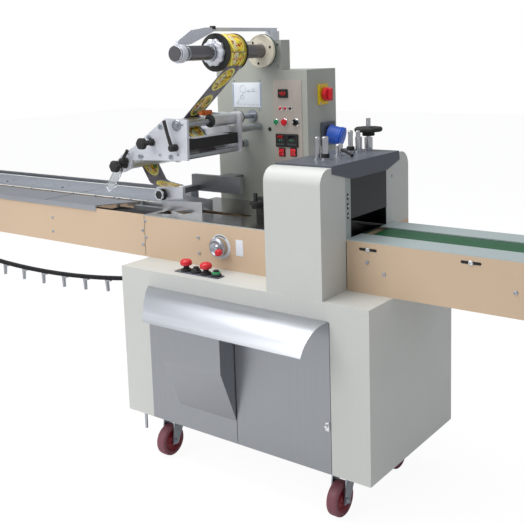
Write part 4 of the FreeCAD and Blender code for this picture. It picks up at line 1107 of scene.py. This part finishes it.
def build_feed_unit():
    known = finishes()
    face = plate_lo[1]
    right = TOWER_RIGHT
    knobs = []
    for dx, dz, radius in ((-492, 175, 20.0), (-357, 259, 19.0)):
        spot = (right + dx, face, DECK + dz)
        stem = [(0, -0.5), (13, -0.5), (13, 6), (9, 8), (8.6, 38), (12, 41)]
        head = [(radius - 4, 41), (radius, 44), (radius + 1, 52), (radius - 1, 59), (radius - 6, 62), (0, 62)]
        knobs.append(aimed(lobed(stem + head, 6, 0.05), spot, FRONT))
    for base, tip in (((-250, 245), (-280, 335)), ((-487, 189), (-458, 229))):
        path = np.array([
            (right + base[0], face - 20, DECK + base[1]),
            (right + (base[0] + tip[0]) / 2, face - 21.5, DECK + (base[1] + tip[1]) / 2),
            (right + tip[0], face - 20, DECK + tip[1]),
        ])
        knobs.append(bar(path, np.array([7.5, 6.0, 6.6]), 16, 0.8))
        pivot = [(0, -0.5), (12, -0.5), (12.5, 4), (11.5, 26), (8, 30), (0, 30)]
        knobs.append(aimed(turned(pivot, 32), (right + base[0], face, DECK + base[1]), FRONT))
    stand = (right - 400, span("former_bracket")[0][1] + 22, DECK + 65)
    star = [(0, -4), (17, -4), (20.5, 0), (21, 8), (19, 18), (14, 23), (0, 23)]
    knobs.append(aimed(lobed(star, 6, 0.05), stand, FRONT))
    set_of = piece("feed_star_knobs", knobs, "machine", known["black_plastic"])
    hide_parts("feed_knobs")
    axis = (right - 242, face, DECK + 319)
    bearing = [(0, -0.5), (18, -0.5), (19, 2), (17, 5), (12, 5), (11, 8), (0, 8)]
    bores = [aimed(turned(bearing, 36), axis, FRONT)]
    for dx, dz in ((-314, 313), (-273, 213), (-525, 169), (-415, 207), (-370, 275)):
        nut = [(0, -0.5), (9, -0.5), (9, 5), (7.5, 6), (5, 6), (5, 9), (0, 9)]
        bores.append(aimed(turned(nut, 6), (right + dx, face, DECK + dz), FRONT))
    piece("feed_bearings", bores, "machine", known["zinc_plated"])
    lo, hi = span("feed_motor_block")
    label = aimed(block(40, 180, 1.2, 3, 0.4), ((lo[0] + hi[0]) / 2, (lo[1] + hi[1]) / 2, hi[2]), UP, BACK)
    piece("drive_top_plate", [label], "machine", known["aluminium_plate"])
    roll = span("feed_roller")
    mid = (roll[0] + roll[1]) / 2
    ends = []
    for y in (roll[0][1] - 1.5, roll[1][1] - 4.5):
        ring = [(9.4, 0), (20, 0), (22.6, 1.5), (22.6, 4.5), (20, 6), (9.4, 6), (9.4, 0)]
        ends.append(aimed(turned(ring, 40), (mid[0], y, mid[2]), BACK))
    piece("feed_roller_ends", ends, "feed_roller", known["black_plastic"])
    eye_x, eye_z = right - 266, DECK + 346
    eye = [
        aimed(block(20, 18, 36, 3, 1.5), (eye_x, 318, eye_z), FRONT),
        aimed(turned([(0, 0), (7, 0), (7, 12), (5.6, 13.4), (0, 13.4)], 24), (eye_x, 279, eye_z), FRONT),
    ]
    piece("print_sensor", eye, "machine", known["orange_plastic"])
    stalk = np.array([
        (right - 266, 304, DECK + 345), (right - 262, 352, DECK + 338), (right - 250, 402, DECK + 330),
    ])
    piece("print_sensor_arm", [bar(stalk, 5.0, 12)], "machine", known["zinc_plated"])
    ribs = []
    for i in range(7):
        ring = [(14, 0), (15.4, 0.7), (15.4, 4.3), (14, 5), (14, 0)]
        ribs.append(aimed(lobed(ring, 16, 0.02), (right - 279, 424 + 12 * i, DECK + 217), BACK))
    piece("tension_knurls", ribs, "machine", known["black_plastic"])


# Casters ------------------------------------------------------------------------------------------


def build_casters():
    known = finishes()
    sides = bpy.context.scene.wrapper_sizes.sides + 16
    for place in ("front_right", "front_left", "rear_right", "rear_left"):
        lo, hi = span("caster_wheel_" + place)
        middle = (lo + hi) / 2
        radius = (hi[2] - lo[2]) / 2
        half = (hi[0] - lo[0]) / 2
        start = middle - (half, 0, 0)
        shoulder = ((0.74, 0.6), (0.93, 0.4), (0.98, 3), (1.0, 8))
        tread = [(radius * share, inset) for share, inset in shoulder]
        tread += [(radius * share, 2 * half - inset) for share, inset in reversed(shoulder)]
        tread.append(tread[0])
        tyre = piece(
            "wheel_tread_" + place, [aimed(turned(tread, sides), start, RIGHT)], "wheel_" + place,
            known["tread_red"],
        )
        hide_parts("caster_wheel_" + place)
        hub = [
            (6.1, 0), (13, 0), (14, 3), (16, 6), (radius * 0.6, 8), (radius * 0.7, 3), (radius * 0.75, 1.6),
            (radius * 0.75, 2 * half - 1.6), (radius * 0.7, 2 * half - 3), (radius * 0.6, 2 * half - 8),
            (16, 2 * half - 6), (14, 2 * half - 3), (13, 2 * half), (6.1, 2 * half), (6.1, 0),
        ]
        piece(
            "wheel_hub_" + place, [aimed(turned(hub, sides), start, RIGHT)], "wheel_" + place,
            known["rim_red"],
        )
        fork_lo, fork_hi = span("caster_fork_" + place)
        nuts = []
        for x, out in ((fork_lo[0], LEFT), (fork_hi[0], RIGHT)):
            nut = [(0, -0.4), (9, -0.4), (9, 5), (7.6, 6), (5, 6), (5, 9), (0, 9)]
            nuts.append(aimed(turned(nut, 6), (x, middle[1], middle[2]), out))
        piece("fork_nuts_" + place, nuts, "swivel_" + place, known["zinc_plated"])
        mount_x, mount_y = (fork_lo[0] + fork_hi[0]) / 2, fork_hi[1] - 30
        race = [(8.3, 0), (24, 0), (27, 1.2), (27, 3), (24, 4.2), (8.3, 4.2), (8.3, 0)]
        top = fork_hi[2]
        piece(
            "fork_race_" + place, [aimed(turned(race, 40), (mount_x, mount_y, top), UP, BACK)],
            "swivel_" + place, known["zinc_plated"],
        )


# Housing and table ---------------------------------------------------------------------------------


# Posts standing on the cover: x, y, radius and height above it.
COVER_POSTS = (
    (-266, 173, 7.0, 67), (-244, 182, 9.5, 67), (-269, 370, 7.5, 67), (-247, 380, 7.0, 67),
    (-256, 279, 12.0, 34),
)
THROAT_X = -247
PLATE = 0.8


def build_housing_details():
    known = finishes()
    top = cover_hi[2]
    clamp_x, clamp_y = cover_hi[0] - 109, 279
    lever = np.array([
        (clamp_x + 4, clamp_y, top + 20), (clamp_x + 24, clamp_y - 6, top + 16),
        (clamp_x + 44, clamp_y - 12, top + 10), (clamp_x + 56, clamp_y - 16, top + 5),
    ])
    black = [bar(lever, np.array([5.0, 4.4, 4.4, 5.4]), 14)]
    for x, y, _, _ in COVER_POSTS[1:3]:
        ring = [(9.6, 0), (12.5, 0), (12.5, 12), (9.6, 12), (9.6, 0)]
        black.append(aimed(turned(ring, 32), (x, y, top + 6), UP, BACK))
    piece("post_clamps", black, "machine", known["black_plastic"])
    caps = []
    for x, y, radius, height in COVER_POSTS:
        dome = [(radius + 0.3, -6), (radius + 0.6, -2)]
        dome += [(radius * math.cos(t), radius * 0.35 * math.sin(t)) for t in (0.3, 0.7, 1.1)]
        dome.append((0, radius * 0.35))
        caps.append(aimed(turned([(0, -6)] + dome, 28), (x, y, top + height), UP, BACK))
    piece("post_caps", caps, "machine", known["bright_steel"])
    lo, hi = span("infeed_table")
    table_y = (lo[1] + hi[1]) / 2
    seams = []
    for x in (-1500, -2300, -3100):
        seams.append(aimed(block(1.2, hi[1] - lo[1] - 4, 0.5, 0.5, 0.2), (x, table_y, DECK + 10), UP, BACK))
    piece("table_seams", seams, "machine", known["dark_joint_and_painted_shade"])
    # Near-black gloss plates in the throat and under the deck: painted shade where the opening lies in
    # shadow.
    liner = [
        aimed(block(190, 212, PLATE, 2, 0.2), (THROAT_X, 381.8, DECK + 108), FRONT),
        aimed(block(190, 214, PLATE, 2, 0.2), (THROAT_X, 273, DECK + 0.2), UP, BACK),
        aimed(block(270, 66, PLATE, 2, 0.2), (-150, 283, DECK - 46), UP, BACK),
    ]
    piece("throat_painted_shade", liner, "machine", known["black_gloss"])
    # White strips along the slot edge and the rail tops: in part white plastic wear strips, in part painted
    # highlight for the bright edge lines there.
    strips = []
    length, strip_x = deck_lo[0] - lo[0], (lo[0] + deck_lo[0]) / 2
    for y, z, wide, tall in (
        (table_y + 12, DECK + 10, 4.6, 2.4), (hi[1] - 40, DECK + 38, 4.6, 1.6),
        (hi[1] - 1.5, DECK + 47, 2.6, 0.8),
    ):
        strips.append(aimed(block(length - 2, wide, tall, 1, 0.5), (strip_x, y, z), UP, BACK))
    piece("guide_strips_and_highlight", strips, "machine", known["white_strip_and_highlight"])
    pins = []
    for x in range(-1290, -990, 90):
        pins.append(screw((x, table_y + 20, DECK + 10), UP, 5.0, BACK))
    for x in range(-3200, -1300, 380):
        pins.append(screw((x, hi[1] - 60, DECK + 10), UP, 5.0, BACK))
    piece("guide_screws", pins, "machine", known["black_plastic"])
    joint = []
    for x in (deck_lo[0], discharge_lo[0] + 1):
        joint.append(aimed(block(1.6, 140, 0.5, 0.6, 0.2), (x, BEAM_FRONT, 741), FRONT))
    piece("panel_joints", joint, "machine", known["dark_joint_and_painted_shade"])


# Stage --------------------------------------------------------------------------------------------


def sky():
    """Plain soft surroundings: white wherever the camera or glass looks, softer as light."""
    world = bpy.data.worlds.new("studio")
    bpy.context.scene.world = world
    world.use_nodes = True
    tree = world.node_tree
    tree.nodes.clear()
    path = tree.nodes.new("ShaderNodeLightPath")
    seen = tree.nodes.new("ShaderNodeMath")
    seen.operation = "MAXIMUM"
    tree.links.new(path.outputs["Is Camera Ray"], seen.inputs[0])
    tree.links.new(path.outputs["Is Transmission Ray"], seen.inputs[1])
    soft = tree.nodes.new("ShaderNodeBackground")
    soft.inputs["Color"].default_value = (0.93, 0.96, 1.0, 1.0)
    soft.inputs["Strength"].default_value = 0.41
    white = tree.nodes.new("ShaderNodeBackground")
    white.inputs["Strength"].default_value = 1.0
    white.inputs["Color"].default_value = (1.0, 1.0, 1.0, 1.0)
    both = tree.nodes.new("ShaderNodeMixShader")
    tree.links.new(seen.outputs[0], both.inputs[0])
    tree.links.new(soft.outputs[0], both.inputs[1])
    tree.links.new(white.outputs[0], both.inputs[2])
    out = tree.nodes.new("ShaderNodeOutputWorld")
    tree.links.new(both.outputs[0], out.inputs["Surface"])


def soft_light(name, centre, target, size, power, colour):
    """Square soft light aimed at a point."""
    data = bpy.data.lights.new(name, "AREA")
    data.shape = "SQUARE"
    data.size = size
    data.energy = power
    data.color = colour
    lamp = bpy.data.objects.new(name, data)
    lamp.matrix_world = Matrix.Translation(centre) @ (
        (Vector(target) - Vector(centre)).to_track_quat("-Z", "Y").to_matrix().to_4x4()
    )
    bpy.context.scene.collection.objects.link(lamp)


def build_stage():
    scene = bpy.context.scene
    scene.view_settings.view_transform = "Standard"
    f = Finish("floor_white", Roughness=0.9)
    cloud = f.noise(f.place(), 0.6)
    f.feed("Base Color", f.mix(cloud, (0.90, 0.90, 0.90, 1), (0.92, 0.92, 0.92, 1)))
    path = f.node("ShaderNodeLightPath", {}, {})
    glow = f.node("ShaderNodeEmission", {}, {"Color": (1, 1, 1, 1), "Strength": 1.06})
    seen = Wire(f, path.outputs["Is Camera Ray"]) * 0.88
    plain, lit = Wire(f, f.shader.outputs[0]), Wire(f, glow.outputs[0])
    both = f.node("ShaderNodeMixShader", {}, {0: seen, 1: plain, 2: lit})
    f.tree.links.new(both.outputs[0], f.end.inputs["Surface"])
    side = 14.0
    corners = [(-side, -side, 0), (side, -side, 0), (side, side, 0), (-side, side, 0)]
    mesh = bpy.data.meshes.new("floor")
    mesh.from_pydata(corners, [], [(0, 1, 2, 3)])
    mesh.materials.append(f.material)
    floor = bpy.data.objects.new("floor", mesh)
    scene.collection.objects.link(floor)
    sky()
    power = scene.wrapper_sizes.lamp_power
    middle = (0.6, 0.0, 0.8)
    soft_light("key_light", (-0.4, -3.8, 3.2), middle, 2.4, power, (1.0, 0.99, 0.975))
    soft_light("left_light", (-3.4, -2.4, 2.6), middle, 2.4, power * 0.3, (0.97, 0.985, 1.0))
    soft_light("top_light", (0.2, -0.6, 3.8), (0.2, 0.0, 0.0), 3.0, power * 1.75, (1.0, 1.0, 1.0))
    data = bpy.data.cameras.new("view")
    data.sensor_width = 36.0
    data.lens = 57.06
    data.shift_x = 0.0315
    data.shift_y = -0.1597
    data.clip_end = 60.0
    camera = bpy.data.objects.new("view", data)
    right = Vector((0.79015, 0.61197, -0.03362))
    back = -Vector((-0.6095, 0.7788, -0.14845))
    right = (right - back * right.dot(back)).normalized()
    back.normalize()
    up = back.cross(right)
    turn = Matrix((right, up, back)).transposed().to_4x4()
    camera.matrix_world = Matrix.Translation((2.4798, -2.1886, 1.3593)) @ turn
    scene.collection.objects.link(camera)
    scene.camera = camera


# Add-on -------------------------------------------------------------------------------------------


class WRAPPER_OT_nodes(bpy.types.Operator):
    """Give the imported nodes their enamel, steel, plastic and belt finishes"""

    bl_idname = "wrapper.nodes"
    bl_label = "Finish nodes"

    def execute(self, context):
        dress_nodes()
        return {"FINISHED"}


class WRAPPER_OT_screws(bpy.types.Operator):
    """Add the panel screws and the adjusting slots"""

    bl_idname = "wrapper.screws"
    bl_label = "Screws and slots"

    def execute(self, context):
        build_screws()
        return {"FINISHED"}


class WRAPPER_OT_film(bpy.types.Operator):
    """Add the printed film and its wound roll"""

    bl_idname = "wrapper.film"
    bl_label = "Film"

    def execute(self, context):
        build_film()
        return {"FINISHED"}


class WRAPPER_OT_reel(bpy.types.Operator):
    """Add the reel's flange, star nut, cap and rings"""

    bl_idname = "wrapper.reel"
    bl_label = "Reel"

    def execute(self, context):
        build_reel()
        return {"FINISHED"}


class WRAPPER_OT_panel(bpy.types.Operator):
    """Add the control panel's plate, displays, lamps, buttons and rockers"""

    bl_idname = "wrapper.panel"
    bl_label = "Control panel"

    def execute(self, context):
        build_panel()
        return {"FINISHED"}


class WRAPPER_OT_tower(bpy.types.Operator):
    """Add the diagram plate, main switch and power socket"""

    bl_idname = "wrapper.tower"
    bl_label = "Tower fittings"

    def execute(self, context):
        build_tower_fittings()
        return {"FINISHED"}


class WRAPPER_OT_handwheels(bpy.types.Operator):
    """Add the star handwheel and the phase handwheel"""

    bl_idname = "wrapper.handwheels"
    bl_label = "Handwheels"

    def execute(self, context):
        build_handwheels()
        return {"FINISHED"}


class WRAPPER_OT_buttons(bpy.types.Operator):
    """Add the ledge's push buttons, the blank plate and the door latch"""

    bl_idname = "wrapper.buttons"
    bl_label = "Buttons"

    def execute(self, context):
        build_buttons()
        return {"FINISHED"}


class WRAPPER_OT_feed(bpy.types.Operator):
    """Add the feed unit's knobs, levers, bearings and sensor"""

    bl_idname = "wrapper.feed"
    bl_label = "Feed unit"

    def execute(self, context):
        build_feed_unit()
        return {"FINISHED"}


class WRAPPER_OT_casters(bpy.types.Operator):
    """Add the caster wheels' treads and hubs, and the forks' races and nuts"""

    bl_idname = "wrapper.casters"
    bl_label = "Casters"

    def execute(self, context):
        build_casters()
        return {"FINISHED"}


class WRAPPER_OT_housing(bpy.types.Operator):
    """Add the cover's post caps and clamps and the table's seams"""

    bl_idname = "wrapper.housing"
    bl_label = "Housing and table"

    def execute(self, context):
        build_housing_details()
        return {"FINISHED"}


class WRAPPER_OT_stage(bpy.types.Operator):
    """Add the floor, the soft lights and the camera"""

    bl_idname = "wrapper.stage"
    bl_label = "Stage"

    def execute(self, context):
        build_stage()
        return {"FINISHED"}


OPERATORS = (
    WRAPPER_OT_stage, WRAPPER_OT_nodes, WRAPPER_OT_screws, WRAPPER_OT_film, WRAPPER_OT_reel,
    WRAPPER_OT_panel, WRAPPER_OT_tower, WRAPPER_OT_handwheels, WRAPPER_OT_buttons, WRAPPER_OT_feed,
    WRAPPER_OT_casters, WRAPPER_OT_housing,
)


class WRAPPER_PT_sidebar(bpy.types.Panel):
    """Lists the flow wrapper's pieces"""

    bl_label = "Flow Wrapper"
    bl_space_type = "VIEW_3D"
    bl_region_type = "UI"
    bl_category = "Flow Wrapper"

    def draw(self, context):
        for group in (context.scene.wrapper_colours, context.scene.wrapper_sizes):
            for name in group.__annotations__:
                self.layout.prop(group, name)
        for operator in OPERATORS:
            self.layout.operator(operator.bl_idname)


CLASSES = (WrapperColours, WrapperSizes, *OPERATORS, WRAPPER_PT_sidebar)


def register():
    for cls in CLASSES:
        bpy.utils.register_class(cls)
    bpy.types.Scene.wrapper_colours = PointerProperty(type=WrapperColours)
    bpy.types.Scene.wrapper_sizes = PointerProperty(type=WrapperSizes)


def unregister():
    del bpy.types.Scene.wrapper_sizes
    del bpy.types.Scene.wrapper_colours
    for cls in reversed(CLASSES):
        bpy.utils.unregister_class(cls)


def main():
    """Registers the add-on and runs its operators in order."""
    register()
    for operator in OPERATORS:
        group, name = operator.bl_idname.split(".")
        getattr(getattr(bpy.ops, group), name)()


if __name__ == "__main__":
    main()
